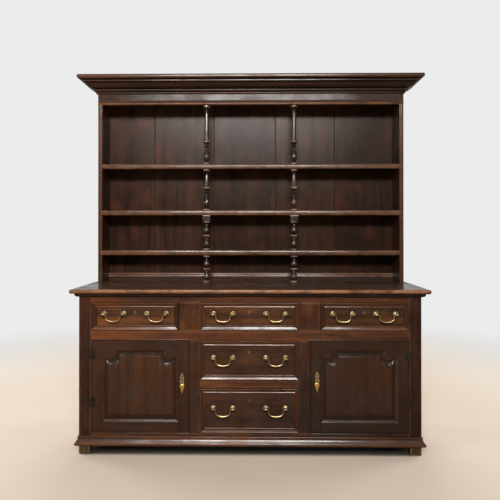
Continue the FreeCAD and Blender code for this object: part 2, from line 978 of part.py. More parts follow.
def drawer_front(name, x, z):
    """The front board with four mitred lengths of moulding round its sunk field."""
    ridge = d.frame_proud * 0.75
    slope_foot = d.frame_proud * 0.35
    section = [
        (0, 0),
        (-ridge, 0),
        (-d.frame_proud, d.frame_wide * 0.1),
        (-d.frame_proud, d.frame_wide * 0.2),
        (-slope_foot, d.frame_wide * 0.8),
        (-slope_foot, d.frame_wide * 0.88),
        (0, d.frame_wide),
    ]
    panel = board(name + "_board", x, (field_face, field_face + d.front_thick), z)
    wide, high = x[1] - x[0], z[1] - z[0]
    frame = frame_of_moulding(name + "_moulding", section, wide, high, d.frame_wide, x[0], field_face, z[0])
    node(name + "_front", [panel] + frame)


def drawer_box(name, x, z):
    """Two sides, a back and a bottom behind the front board."""
    front = field_face + d.front_thick
    high = (z[0], z[1] - d.side_drop)
    left = (x[0], x[0] + d.side_thick)
    right = (x[1] - d.side_thick, x[1])
    between = (left[1], right[0])
    back = d.drawer_back - d.side_thick
    bottom_low = z[0] + d.bottom_lift
    bottom_top = bottom_low + d.bottom_thick
    pieces = [
        board(name + "_left_side", left, (front, d.drawer_back), high),
        board(name + "_right_side", right, (front, d.drawer_back), high),
        board(name + "_back", between, (back, d.drawer_back), (bottom_top, high[1])),
        board(name + "_bottom", between, (front, d.drawer_back), (bottom_low, bottom_top)),
    ]
    node(name + "_box", pieces)


def handle_post():
    """A cast post on the origin: a rosette, a stem, and a square head bored across for the bail."""
    half = d.head_size / 2
    forward = Vector(1, 0, 0)
    rosette = put(prism("post_rosette", d.rosette_radius, d.rosette_thick), 0, 0, 0, forward, 90)
    stem = put(prism("post_stem", d.stem_radius, d.pivot_out, STEM_FLATS), 0, 0, 0, forward, 90)
    head = board("post_head", (-half, half), (-d.pivot_out - half, half - d.pivot_out), (-half, half))
    bore = prism("post_bore", bored(d.wire_radius + d.pivot_play), d.head_size)
    put(bore, -half, -d.pivot_out, 0, Vector(0, 1, 0), 90)
    return cut("handle_post", fused("post_casting", [rosette, stem, head]), bore)


def bail_edge(side):
    """The upper (1) or lower (-1) edge of the right half of a bail, from its pivot end to its middle.

    The wire runs in from the post to the leg, bends down, and turns into the bar.
    """
    half = bail_flat * side
    points = [(d.post_spacing / 2 + d.head_size / 2, d.bail_drop + half)]
    bend = (d.bail_leg + d.bail_bend, d.bail_drop - d.bail_bend, d.bail_bend + half, (90, 135, 180))
    corner = (d.bail_leg - d.bail_corner, d.bail_corner, d.bail_corner - half, (0, -30, -60, -90))
    for across, up, radius, angles in (bend, corner):
        for angle in angles:
            turn = math.radians(angle)
            points.append((across + radius * math.cos(turn), up + radius * math.sin(turn)))
    points.append((as_size(0), d.bail_swell * side))
    return points


def swan_neck_bail():
    """A bail hanging from the origin, thickest in the middle of its bar, with its arrises taken off."""
    upper, lower = bail_edge(1), bail_edge(-1)
    outline = upper + [(-across, up) for across, up in reversed(upper[:-1])]
    outline += [(-across, up) for across, up in lower[:-1]] + lower[::-1]
    body = new_body("bail")
    lowered = [(across, up - d.bail_drop) for across, up in outline]
    wire = pad(body, draw(body, "XZ_Plane", lowered), bail_flat * 2, both_ways=True)
    doc.recompute()
    near = 0.01
    edges = edges_where(wire, lambda middle: abs(middle.y) > bail_flat.number - near)
    arris = body.newObject("PartDesign::Chamfer", "bail_arris")
    arris.Base = (wire, edges)
    bind(arris, "Size", bail_flat * (2 - math.sqrt(2)))
    return body


def drawer(name, opening_x, opening_z, handle_from_middle, post, wire):
    """One drawer with its two handles, in an opening given by two pairs of limits."""
    x = (opening_x[0] + d.drawer_gap, opening_x[1] - d.drawer_gap)
    drawer_front(name, x, (opening_z[0] + d.drawer_gap, opening_z[1] - d.drawer_gap))
    drawer_box(name, x, (opening_z[0] + d.slide_gap, opening_z[1] - d.drawer_gap))
    middle = (opening_x[0] + opening_x[1]) / 2
    level = (opening_z[0] + opening_z[1]) / 2 + d.handle_lift
    half = d.post_spacing / 2
    handles = [("left", middle - handle_from_middle), ("right", middle + handle_from_middle)]
    places = [centre + side for side_name, centre in handles for side in (-half, half)]
    posts = [again(post, place, field_face, level) for place in places]
    node(name + "_handle_posts", posts)
    for side_name, centre in handles:
        bail = again(wire, centre, field_face - d.pivot_out, level)
        node("%s_%s_bail" % (name, side_name), [bail])


def drawers():
    """Three drawers in the top row, and two more in the middle column."""
    top_row = (d.mid_rail_top, d.top_rail_low)
    muntin_out = d.centre_half + d.upper_muntin
    middle = (-d.centre_half, d.centre_half)
    aside = d.side_handle_from_middle
    central = d.centre_handle_from_middle
    handle = (handle_post(), swan_neck_bail())
    drawer("top_left_drawer", (-post_in, -muntin_out), top_row, aside, *handle)
    drawer("top_middle_drawer", middle, top_row, central, *handle)
    drawer("top_right_drawer", (muntin_out, post_in), top_row, aside, *handle)
    drawer("centre_drawer", middle, (d.drawer_rail_top, d.mid_rail_low), central, *handle)
    drawer("bottom_drawer", middle, (d.bottom_rail_top, d.drawer_rail_low), central, *handle)


# Doors: the right one is drawn, and the left one is its mirror image
door_low = d.bottom_rail_top + d.door_gap
door_high = d.mid_rail_low - d.door_gap - door_low
door_middle = (opening_in + post_in) / 2
door_half = (post_in - opening_in) / 2 - d.door_gap
crown = door_high - d.door_top_rail
LOBE = 0.55
LOBE_CHORDS = 6


def door_outline(aside, up):
    """The sight line of the door: square below, with two rounded lobes of the rail above."""
    side = d.door_sight + aside
    lobe = d.lobe_start + aside
    outline = [
        (-side, d.door_bottom_rail - up),
        (side, d.door_bottom_rail - up),
        (side, crown - d.lobe_end + up),
        (lobe, crown - d.lobe_step + up, -LOBE),
        (lobe, crown + up),
        (-lobe, crown + up),
        (-lobe, crown - d.lobe_step + up),
        (-side, crown - d.lobe_end + up, -LOBE),
    ]
    return chords(outline, LOBE_CHORDS)


def shaped_rail():
    """The top rail, whose lower edge has a lobe at each end."""
    body = new_body("door_top_rail_piece")
    outline = [
        (d.door_sight, door_high),
        (-d.door_sight, door_high),
        (-d.door_sight, crown - d.lobe_end),
        (-d.lobe_start, crown - d.lobe_step, LOBE),
        (-d.lobe_start, crown),
        (d.lobe_start, crown),
        (d.lobe_start, crown - d.lobe_step),
        (d.door_sight, crown - d.lobe_end, LOBE),
    ]
    pad(body, draw(body, "XZ_Plane", chords(outline, LOBE_CHORDS)), d.door_thick, backwards=True)
    return put(body, door_middle, face, door_low)


def sticking_waste():
    """The waste of the bevelled edge that runs round the opening of the frame."""
    body = new_body("door_sticking")
    wide = door_outline(d.sticking_wide, d.sticking_wide)
    loft = body.newObject("PartDesign::AdditiveLoft", "door_sticking_bevel")
    loft.Profile = draw(body, "XZ_Plane", door_outline(as_size(0), as_size(0)), -d.sticking_deep)
    loft.Sections = [draw(body, "XZ_Plane", wide)]
    loft.Ruled = True
    pad(body, draw(body, "XZ_Plane", wide), as_size(MITRE_SPARE))
    return put(body, door_middle, face, door_low)


def both_doors(label, pieces):
    """One sub-part of the right door, and the same on the left door."""
    right = node("right_" + label, pieces)
    left = mirrored(right)
    node("left_" + label, [left])
    return left


def door_frames():
    """Stiles and rails, grooved for the panel and bevelled round it, and the fielded panels."""
    deep = (face, face + d.door_thick)
    tall = (door_low, door_low + door_high)
    sight_left, sight_right = door_middle - d.door_sight, door_middle + d.door_sight
    members = [
        board("meeting_stile", (door_middle - door_half, sight_left), deep, tall),
        board("hanging_stile", (sight_right, door_middle + door_half), deep, tall),
        board("door_foot_rail", (sight_left, sight_right), deep, (door_low, door_low + d.door_bottom_rail)),
        shaped_rail(),
    ]
    panel_place = (door_middle, face + d.door_groove_in, door_low)
    waste = doc.addObject("Part::Compound", "door_waste")
    waste.Links = [sticking_waste(), put(groove_plate("door_groove", door_outline), *panel_place)]
    both_doors("door_frame", [cut("door_member", member, waste) for member in members])
    panel = fielded_panel("door_panel", door_outline, d.panel_bevel_wide, d.panel_bevel_high)
    both_doors("door_panel", [put(panel, *panel_place)])


def upright_bar(name, radius, x, y, z):
    """A round bar between two heights."""
    return put(prism(name, radius, z[1] - z[0]), x, y, z[0])


def hinge_leaf(name, side, foot, knuckles):
    """A plate with its knuckles round the pin; side is 1 on the post and -1 on the door."""
    axis_x = post_in - d.door_gap / 2
    axis_y = face - d.hinge_out
    near = axis_x + side * (d.barrel_radius + d.knuckle_gap)
    far = near + side * d.leaf_wide
    deep = (face - d.leaf_thick, face)
    plate_x = (near, far) if side > 0 else (far, near)
    web_x = (axis_x, near) if side > 0 else (near, axis_x)
    pieces = [board(name + "_plate", plate_x, deep, (foot, foot + d.hinge_high))]
    for z in knuckles:
        pieces.append(upright_bar(name + "_knuckle", d.barrel_radius, axis_x, axis_y, z))
        pieces.append(board(name + "_web", web_x, deep, z))
    bore = upright_bar(
        name + "_bore", bored(d.pin_radius + d.pin_play), axis_x, axis_y, (foot, foot + d.hinge_high))
    return cut(name, fused(name + "_forging", pieces), bore)


def hinge_pin(foot):
    """A loose pin with a pointed head that rests on the top knuckle."""
    top = d.hinge_high
    profile = [
        (d.pin_radius, as_size(0)),
        (d.pin_radius, top),
        (d.finial_radius, top + d.finial_high * 0.15),
        (d.finial_radius, top + d.finial_high * 0.5),
        (d.finial_radius * 0.3, top + d.finial_high),
    ]
    return put(turned("hinge_pin", profile), post_in - d.door_gap / 2, face - d.hinge_out, foot)


def hinges():
    """Two hinges to each door: the post's leaf has two knuckles, the door's has one between them."""
    on_post = []
    on_door = []
    for foot in (d.lower_hinge, d.upper_hinge):
        low = foot + d.hinge_high / 3
        high = foot + d.hinge_high * 2 / 3
        outer = [(foot, low - d.knuckle_gap), (high + d.knuckle_gap, foot + d.hinge_high)]
        on_post += pair(hinge_leaf("post_leaf", 1, foot, outer))
        on_post += pair(hinge_pin(foot))
        on_door.append(hinge_leaf("door_leaf", -1, foot, [(low, high)]))
    node("hinge_post_leaves", on_post)
    both_doors("door_hinge_leaves", on_door)


def escutcheon():
    """A pierced plate round the keyhole: a pointed leaf below, a waist, and an open loop above."""
    body = new_body("escutcheon")
    half = d.plate_wide / 2
    shoulder = d.plate_high * 0.32
    waist = d.plate_high * 0.68
    waist_half = d.plate_wide * 0.17
    leaf_bulge = 0.16
    waist_bulge = -0.12
    loop_bulge = 0.45
    outline = [
        (0, 0, leaf_bulge),
        (half, shoulder, leaf_bulge),
        (waist_half, waist, waist_bulge),
        (0, d.plate_high, loop_bulge),
        (-waist_half, waist, loop_bulge),
        (-half, shoulder, waist_bulge),
    ]
    pad(body, draw(body, "XZ_Plane", chords(outline, 4)), d.plate_thick)
    loop_hole = [(0, d.plate_high * 0.74, loop_bulge), (0, d.plate_high * 0.94, loop_bulge)]
    pocket(body, draw(body, "XZ_Plane", chords(loop_hole, 4)))
    slot = d.plate_wide * 0.06
    round_bulge = 3
    keyhole = [
        (-slot, d.plate_keyhole - slot * 5),
        (slot, d.plate_keyhole - slot * 5),
        (slot, d.plate_keyhole),
        (-slot, d.plate_keyhole, round_bulge),
    ]
    pocket(body, draw(body, "XZ_Plane", chords(keyhole, 6)))
    return body


def locks():
    """The escutcheons on the meeting stiles, and the lock cases behind them."""
    stile_middle = door_middle - (door_half + d.door_sight) / 2
    plate = escutcheon()
    put(plate, stile_middle, face, d.keyhole_high + d.keyhole_stagger - d.plate_keyhole)
    left = both_doors("door_escutcheon", [plate])
    bind(left, "Placement.Base.z", -(d.keyhole_stagger * 2))
    half_wide, half_high = d.lock_wide / 2, d.lock_high / 2
    back = face + d.door_thick
    case = board(
        "lock_case",
        (stile_middle - half_wide, stile_middle + half_wide),
        (back, back + d.lock_thick),
        (d.keyhole_high - half_high, d.keyhole_high + half_high))
    both_doors("door_lock", [case])


drawers()
door_frames()
hinges()
locks()


def write_parts():
    """Checks every object of the document, then writes each sub-part to its own file."""
    doc.recompute()
    failed = [thing.Label for thing in doc.Objects if "Invalid" in thing.State or "Error" in thing.State]
    for piece in NODES:
        if piece.Shape.isNull() or not piece.Shape.isValid():
            failed.append(piece.Label)
    if failed:
        raise SystemExit("failed: " + ", ".join(failed))
    os.makedirs("parts", exist_ok=True)
    for piece in NODES:
        piece.Shape.exportStep("parts/%s.step" % piece.Label)
        print(piece.Label, len(piece.Shape.Solids), "solids")
    print(len(NODES), "sub-parts")


write_parts()
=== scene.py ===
# %% [markdown]
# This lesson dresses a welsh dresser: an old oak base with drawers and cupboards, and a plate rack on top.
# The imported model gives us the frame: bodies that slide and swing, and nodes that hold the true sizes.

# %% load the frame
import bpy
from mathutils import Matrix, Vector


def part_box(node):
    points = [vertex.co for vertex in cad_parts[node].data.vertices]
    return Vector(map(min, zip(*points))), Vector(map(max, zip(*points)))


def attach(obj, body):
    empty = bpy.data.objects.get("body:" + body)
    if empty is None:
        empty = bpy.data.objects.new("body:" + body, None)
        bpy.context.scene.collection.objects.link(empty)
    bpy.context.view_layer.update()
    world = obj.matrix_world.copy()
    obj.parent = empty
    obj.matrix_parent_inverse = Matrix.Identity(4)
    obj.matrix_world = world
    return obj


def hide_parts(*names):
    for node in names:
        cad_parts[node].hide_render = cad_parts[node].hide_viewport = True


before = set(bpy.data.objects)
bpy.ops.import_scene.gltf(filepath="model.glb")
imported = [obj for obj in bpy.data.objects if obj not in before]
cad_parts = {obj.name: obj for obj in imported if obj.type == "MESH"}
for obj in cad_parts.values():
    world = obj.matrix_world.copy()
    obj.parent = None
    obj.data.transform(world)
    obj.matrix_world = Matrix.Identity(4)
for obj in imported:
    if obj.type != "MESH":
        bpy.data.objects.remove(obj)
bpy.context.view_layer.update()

import math
import random

import bmesh
import bpy
from mathutils import Vector

scene = bpy.context.scene

# %% [markdown]
# The camera stands where the photo was taken: chest high, two and a half metres in front of the worktop. A
# lens as long as the sensor is wide gives the same perspective on the cornice and the worktop. The camera
# is as good as level so that upright lines stay upright, and a small shift brings the feet into the
# picture.

# %% camera
TILT, TURN = 0.0031, 0.013
camera_data = bpy.data.cameras.new("photo_camera")
camera_data.sensor_width = 36
camera_data.lens = 36
camera_data.shift_y = -0.0398
camera = bpy.data.objects.new("photo_camera", camera_data)
camera.location = (0.036, -2.778, 1.142)
camera.rotation_euler = (math.radians(90) + TILT, 0, TURN)
scene.collection.objects.link(camera)
scene.camera = camera
scene.view_settings.view_transform = "Standard"
print("camera at", tuple(round(value, 3) for value in camera.location))

# %% [markdown]
# One broad lamp in front and above does most of the work: the depth of the black shadows under the shelves
# tells how high it hangs. A high window lights nothing and is only seen in the polish, where it draws
# bright lines on slopes and beads. Two soft windows fill the front. Lamps beside and behind serve the other
# views, and the one behind stays out of the polish, or the top of the rack would shine white.

# %% lamps
WARM, COOL = (1.0, 0.97, 0.93), (0.96, 0.98, 1.0)
CENTRE = (0, 0, 1.0)


def lamp(name, place, aim, wide, high, watts, colour=WARM, lights=True, shines=True):
    """A soft rectangular lamp that faces a point; it can be left out of the light or out of the polish."""
    data = bpy.data.lights.new(name, "AREA")
    data.shape = "RECTANGLE"
    data.size = wide
    data.size_y = high
    data.energy = watts
    data.color = colour
    thing = bpy.data.objects.new(name, data)
    thing.location = place
    thing.rotation_euler = (Vector(aim) - Vector(place)).to_track_quat("-Z", "Y").to_euler()
    thing.visible_diffuse = lights
    thing.visible_glossy = shines
    scene.collection.objects.link(thing)


lamp("key_lamp", (0.0, -4.9, 3.4), CENTRE, wide=2.8, high=0.8, watts=370)
lamp("high_window", (-0.4, -3.1, 2.95), (-0.2, -0.2, 0.5), wide=2.2, high=1.1, watts=74, colour=COOL,
     lights=False)
lamp("left_window", (-3.6, -2.4, 1.9), CENTRE, wide=1.2, high=2.0, watts=55)
lamp("right_window", (3.6, -2.4, 1.9), CENTRE, wide=1.2, high=2.0, watts=18)
lamp("left_end_lamp", (-3.2, 1.1, 1.9), (-0.9, 0, 0.9), wide=1.2, high=1.8, watts=50)
lamp("right_end_lamp", (3.2, 1.1, 1.9), (0.9, 0, 0.9), wide=1.2, high=1.8, watts=50)
lamp("back_lamp", (0, 3.6, 2.4), CENTRE, wide=2.6, high=1.2, watts=130, shines=False)

# %% [markdown]
# The world and every finish are trees of nodes. Wiring each node by hand takes many lines, so a few small
# helpers add a node, link or set its inputs, and give back the socket that the next node needs.

# %% node helpers
def add(tree, kind, inputs=None, **settings):
    """One node of a material or group; an input is a socket to link or a plain value."""
    made = tree.nodes.new(kind)
    for name, value in settings.items():
        setattr(made, name, value)
    for name, value in (inputs or {}).items():
        if isinstance(value, bpy.types.NodeSocket):
            tree.links.new(value, made.inputs[name])
        else:
            made.inputs[name].default_value = value
    return made


def calc(tree, operation, first, second=0.0, clamp=False):
    """A sum on one or two values."""
    inputs = {0: first, 1: second}
    return add(tree, "ShaderNodeMath", inputs, operation=operation, use_clamp=clamp).outputs[0]


def times(tree, first, second, clamp=False):
    """Two values multiplied."""
    return calc(tree, "MULTIPLY", first, second, clamp)


def plus(tree, first, second, clamp=False):
    """Two values added."""
    return calc(tree, "ADD", first, second, clamp)


def mix(tree, share, first, second, blend="MIX"):
    """Two colours blended by a share."""
    inputs = {0: share, 6: first, 7: second}
    return add(tree, "ShaderNodeMix", inputs, data_type="RGBA", blend_type=blend).outputs[2]


def ramp(tree, value, low, high, out_low=0.0, out_high=1.0):
    """A value stretched from one range to another and held inside it."""
    inputs = {"Value": value, "From Min": low, "From Max": high, "To Min": out_low, "To Max": out_high}
    return add(tree, "ShaderNodeMapRange", inputs, interpolation_type="SMOOTHSTEP").outputs[0]


print("node helpers: add, calc, times, plus, mix and ramp")

# %% [markdown]
# The world is dim for the light that falls on the wood, so that shadows stay deep, and pale for the camera,
# so that the background is light. Polish that looks past the back of the dresser sees the pale side too, as
# the ends of a waxed worktop do by day. The Light Path node tells these rays apart.

# %% world
PALE = (0.83, 0.84, 0.84, 1)


def seen_directly(tree):
    """1 for rays that come straight from the camera, 0 for the light that falls on things."""
    path = add(tree, "ShaderNodeLightPath").outputs
    return calc(tree, "MAXIMUM", path["Is Camera Ray"], path["Is Transmission Ray"])


def seen_in_polish(tree):
    """1 for rays that come by way of a shiny surface."""
    return add(tree, "ShaderNodeLightPath").outputs["Is Glossy Ray"]


world = bpy.data.worlds.new("pale_world")
world.use_nodes = True
air = world.node_tree
air.nodes.clear()
dim = add(air, "ShaderNodeBackground", {"Color": (0.88, 0.84, 0.80, 1), "Strength": 0.05})
pale = add(air, "ShaderNodeBackground", {"Color": PALE, "Strength": 1.0})
heading = add(air, "ShaderNodeSeparateXYZ", {0: add(air, "ShaderNodeTexCoord").outputs["Generated"]}).outputs
behind = times(air, seen_in_polish(air), ramp(air, heading["Y"], 0.6, 0.85))
share = calc(air, "MAXIMUM", seen_directly(air), behind)
blend = add(air, "ShaderNodeMixShader", {0: share, 1: dim.outputs[0], 2: pale.outputs[0]})
add(air, "ShaderNodeOutputWorld", {"Surface": blend.outputs[0]})
scene.world = world
print("world:", len(air.nodes), "nodes")

# %% [markdown]
# The floor is one plain sheet. Its pale tan fades into the background with distance, so that no edge shows.
# Ambient occlusion darkens it close under the plinth, where hardly any light comes in. In the polish it is
# dark, which keeps the lower drawers as deep in colour as they are on the real piece.

# %% floor
REACH = 9.0
NEAR, FAR = 1.2, 4.2
floor_mesh = bpy.data.meshes.new("floor")
corners = [(-REACH, -REACH, 0), (REACH, -REACH, 0), (REACH, REACH, 0), (-REACH, REACH, 0)]
floor_mesh.from_pydata(corners, [], [(0, 1, 2, 3)])
floor = bpy.data.objects.new("floor", floor_mesh)
scene.collection.objects.link(floor)
floor_paint = bpy.data.materials.new("pale_floor")
floor_paint.use_nodes = True
ground = floor_paint.node_tree
where = add(ground, "ShaderNodeTexCoord").outputs["Object"]
cloud = add(ground, "ShaderNodeTexNoise", {"Vector": where, "Scale": 1.3, "Detail": 4}).outputs[0]
tan = mix(ground, cloud, (0.56, 0.47, 0.38, 1), (0.63, 0.55, 0.46, 1))
open_air = add(ground, "ShaderNodeAmbientOcclusion", {"Distance": 0.30}).outputs["AO"]
tan = mix(ground, ramp(ground, open_air, 0.27, 0.52), (0.02, 0.016, 0.012, 1), tan)
tan = mix(ground, seen_in_polish(ground), tan, (0.10, 0.08, 0.065, 1))
paint = ground.nodes["Principled BSDF"]
paint.inputs["Roughness"].default_value = 0.6
ground.links.new(tan, paint.inputs["Base Color"])
distance = add(ground, "ShaderNodeVectorMath", {0: where}, operation="LENGTH").outputs["Value"]
haze = times(ground, ramp(ground, distance, NEAR, FAR), seen_directly(ground))
pale_far = add(ground, "ShaderNodeEmission", {"Color": PALE, "Strength": 1.0})
fading = add(ground, "ShaderNodeMixShader", {0: haze, 1: paint.outputs[0], 2: pale_far.outputs[0]})
ground.links.new(fading.outputs[0], ground.nodes["Material Output"].inputs["Surface"])
floor_mesh.materials.append(floor_paint)
print("floor reaches", REACH, "m each way")

# %% [markdown]
# Old polished oak has long fibres, dark pores, pale ray flecks and slow bands of growth, and every board
# differs. All of that runs along the board, so each piece carries a UV map named grain: u along the fibres,
# v across them, in metres. A noise that is stretched along u draws each of these figures. Two numbers
# travel with the corners: wear, high on rubbed edges and below zero where the wood is darkened, by dirt and
# by painted shade in quirks, hollows and gaps, and tone, one value for each board.

# %% helpers for figures
GRAIN = "grain"


def sockets(group, way, **kinds):
    """Named sockets of a group, listed by their kind."""
    for kind, names in kinds.items():
        for name in names:
            group.interface.new_socket(name, in_out=way, socket_type="NodeSocket" + kind)


def attribute(tree, name):
    """A number that travels with the corners."""
    return add(tree, "ShaderNodeAttribute", attribute_name=name).outputs["Fac"]


def shifted(tree, where, **offset):
    """A place moved along X, Y or Z."""
    move = add(tree, "ShaderNodeCombineXYZ", offset).outputs[0]
    return add(tree, "ShaderNodeVectorMath", {0: where, 1: move}, operation="ADD").outputs[0]


def noise(tree, where, along, across, depth=1.0, detail=3.0, rough=0.55):
    """A noise stretched along the grain: so many features in a metre along it and across it."""
    inputs = {0: where, 1: (along, across, depth)}
    scaled = add(tree, "ShaderNodeVectorMath", inputs, operation="MULTIPLY").outputs[0]
    inputs = {"Vector": scaled, "Scale": 1.0, "Detail": detail, "Roughness": rough}
    return add(tree, "ShaderNodeTexNoise", inputs).outputs[0]


def even_noise(tree, where, features, **settings):
    """A noise with as many features in a metre each way."""
    return noise(tree, where, features, features, features, **settings)


print("figures follow the map named", GRAIN)

# %% [markdown]
# The oak is one node group, so that doors, rails, rack and linings share it with their own colours. The
# figure comes first, then red stain, dark patina, a tone for each board with painted shade that darkens the
# wood towards the right and towards the floor, rubbed edges, and dirt together with painted shade where the
# wear is below zero. Roughness, height and uneven wax follow from the same figures.

# %% the oak group
# near black: the pores, and dirt with painted shade in quirks, hollows and gaps
PORE_DIRT_AND_SHADE_COLOUR = (0.006, 0.004, 0.003, 1)


def oak_group():
    """Colour, roughness, height and wax of old oak from its grain map."""
    group = bpy.data.node_groups.new("old_oak_figure", "ShaderNodeTree")
    amounts = ["Wear", "Polish", "Patina", "Spread", "Wax", "Stain"]
    sockets(group, "INPUT", Color=["Dark", "Light", "Rubbed", "Stained"], Float=amounts)
    sockets(group, "OUTPUT", Color=["Color"], Float=["Roughness", "Height", "Coat"])
    given = add(group, "NodeGroupInput").outputs
    marks = attribute(group, "wear")
    worn = calc(group, "MAXIMUM", marks, 0.0)
    # wear below zero darkens the wood: dirt, and painted shade in quirks, hollows and gaps
    darkening = calc(group, "MAXIMUM", times(group, marks, -1.0), 0.0)
    # the figure, which runs along the grain of each board
    tone = attribute(group, "tone")
    grain = add(group, "ShaderNodeUVMap", uv_map=GRAIN).outputs[0]
    place = shifted(group, grain, Z=times(group, tone, 9.0))
    sway = noise(group, place, along=2.2, across=5.0, detail=2.0)
    place = shifted(group, place, Y=times(group, sway, 0.035))
    bands = noise(group, place, along=1.1, across=26.0)
    streaks = noise(group, place, along=3.0, across=120.0, rough=0.6)
    fibres = noise(group, place, along=9.0, across=620.0, detail=2.0)
    pores = noise(group, place, along=34.0, across=900.0, depth=2.0, detail=1.0)
    pores = ramp(group, pores, 0.60, 0.74)
    flecks = noise(group, place, along=26.0, across=95.0, depth=3.0, detail=2.0)
    flecks = ramp(group, flecks, 0.63, 0.78)
    stain = noise(group, place, along=5.0, across=11.0, depth=1.7, detail=4.0)
    stain = ramp(group, stain, 0.52, 0.70)
    # what time left on the whole piece
    spot = add(group, "ShaderNodeTexCoord").outputs["Object"]
    blots = even_noise(group, spot, 3.4, detail=4.0, rough=0.6)
    smears = even_noise(group, spot, 17.0)
    hands = even_noise(group, spot, 7.0, detail=4.0)
    # colour of the wood
    figure = plus(group, times(group, bands, 0.55), times(group, streaks, 0.45))
    colour = mix(group, ramp(group, figure, 0.30, 0.70), given["Dark"], given["Light"])
    paler = mix(group, 0.5, given["Light"], given["Rubbed"])
    colour = mix(group, times(group, flecks, 0.30), colour, paler)
    colour = mix(group, times(group, pores, 0.65), colour, PORE_DIRT_AND_SHADE_COLOUR)
    colour = mix(group, times(group, stain, given["Stain"]), colour, given["Stained"])
    soot = times(group, ramp(group, blots, 0.46, 0.68), given["Patina"])
    colour = mix(group, soot, colour, given["Dark"])
    # tone by board, and painted shade: darker towards the right and towards the floor
    tone_and_painted_shade = plus(group, times(group, calc(group, "SUBTRACT", tone, 0.5), given["Spread"]), 1.0)
    axes = add(group, "ShaderNodeSeparateXYZ", {0: spot}).outputs
    tone_and_painted_shade = times(group, tone_and_painted_shade, ramp(group, axes["X"], -0.9, 0.9, 1.10, 0.70))
    tone_and_painted_shade = times(group, tone_and_painted_shade, ramp(group, axes["Z"], 0.0, 0.85, 0.72, 1.02))
    tone_and_shade_grey = add(group, "ShaderNodeCombineColor", {0: tone_and_painted_shade, 1: tone_and_painted_shade, 2: tone_and_painted_shade}).outputs[0]
    colour = mix(group, 1.0, colour, tone_and_shade_grey, "MULTIPLY")
    # rubbed edges, then the darkening where the wear is below zero: dirt and painted shade
    rubbed = times(group, worn, ramp(group, smears, 0.30, 0.62, 0.25, 1.0))
    rubbed = times(group, rubbed, given["Wear"], clamp=True)
    colour = mix(group, rubbed, colour, given["Rubbed"])
    colour = mix(group, times(group, darkening, 0.85), colour, PORE_DIRT_AND_SHADE_COLOUR)
    # roughness
    dull = plus(group, given["Polish"], times(group, pores, 0.25))
    uneven = ramp(group, smears, 0.35, 0.75, -0.1, 0.32)
    dull = plus(group, dull, times(group, uneven, plus(group, given["Wax"], 0.1)))
    dull = plus(group, dull, times(group, darkening, 0.3))
    dull = calc(group, "SUBTRACT", dull, times(group, rubbed, 0.06))
    # height and wax
    height = plus(group, times(group, fibres, 0.25), times(group, streaks, 0.35))
    height = calc(group, "SUBTRACT", height, times(group, pores, 0.5))
    height = plus(group, height, times(group, blots, 0.9))
    coat = times(group, given["Wax"], ramp(group, hands, 0.36, 0.62, 0.35, 1.0))
    coat = times(group, coat, calc(group, "SUBTRACT", 1.0, darkening))
    add(group, "NodeGroupOutput", {"Color": colour, "Roughness": dull, "Height": height, "Coat": coat})
    return group


oak_figure = oak_group()
print("oak group:", len(oak_figure.nodes), "nodes")

# %% [markdown]
# A material joins a group to its shader. Colour, roughness and wax change over the surface, so they are
# linked, and the height goes through a bump node. Gloss that is the same all over is a plain number on the
# shader itself, because an export drops it when it is linked.

# %% from group to material
LINKS = {"Color": "Base Color", "Roughness": "Roughness", "Coat": "Coat Weight"}


def surface(name, figure, values, bump, coat_roughness, sheen=0.5):
    """A material that takes colour, roughness, height and wax from a group."""
    material = bpy.data.materials.new(name)
    material.use_nodes = True
    tree = material.node_tree
    shader = tree.nodes["Principled BSDF"]
    group = add(tree, "ShaderNodeGroup", node_tree=figure)
    for socket, value in values.items():
        group.inputs[socket].default_value = value
    for result, target in LINKS.items():
        if result in group.outputs:
            tree.links.new(group.outputs[result], shader.inputs[target])
    inputs = {"Height": group.outputs["Height"], "Strength": 1.0, "Distance": bump}
    tree.links.new(add(tree, "ShaderNodeBump", inputs).outputs[0], shader.inputs["Normal"])
    shader.inputs["Coat Roughness"].default_value = coat_roughness
    shader.inputs["Specular IOR Level"].default_value = sheen
    return material


print("a group can feed", ", ".join(LINKS.values()))

# %% [markdown]
# Each oak is a copy of the group with its own colours. Rails and drawers are a warm red brown, the doors
# are darker, the backboards of the rack are greyer with red stains, the turned spindles are nearly black
# with pale rubbed rings that are partly a painted highlight, linings were never polished, and the feet are
# rubbed pale. Wax lies on top as a thin coat, so edges and beads catch white lights as they do on the old
# surface.

# %% oak finishes
WAX_ROUGHNESS = 0.15
finishes = {}


def oak(name, dark, light, rubbed, wear=0.6, polish=0.42, patina=0.55, spread=0.5, wax=0.5, sheen=0.15,
        stain=0.0, stained=(0.15, 0.052, 0.010), relief=0.0012):
    """One oak finish."""
    values = {
        "Dark": (*dark, 1),
        "Light": (*light, 1),
        "Rubbed": (*rubbed, 1),
        "Wear": wear,
        "Polish": polish,
        "Patina": patina,
        "Spread": spread,
        "Wax": wax,
        "Stain": stain,
        "Stained": (*stained, 1),
    }
    finishes[name] = surface(name, oak_figure, values, relief, WAX_ROUGHNESS, sheen)


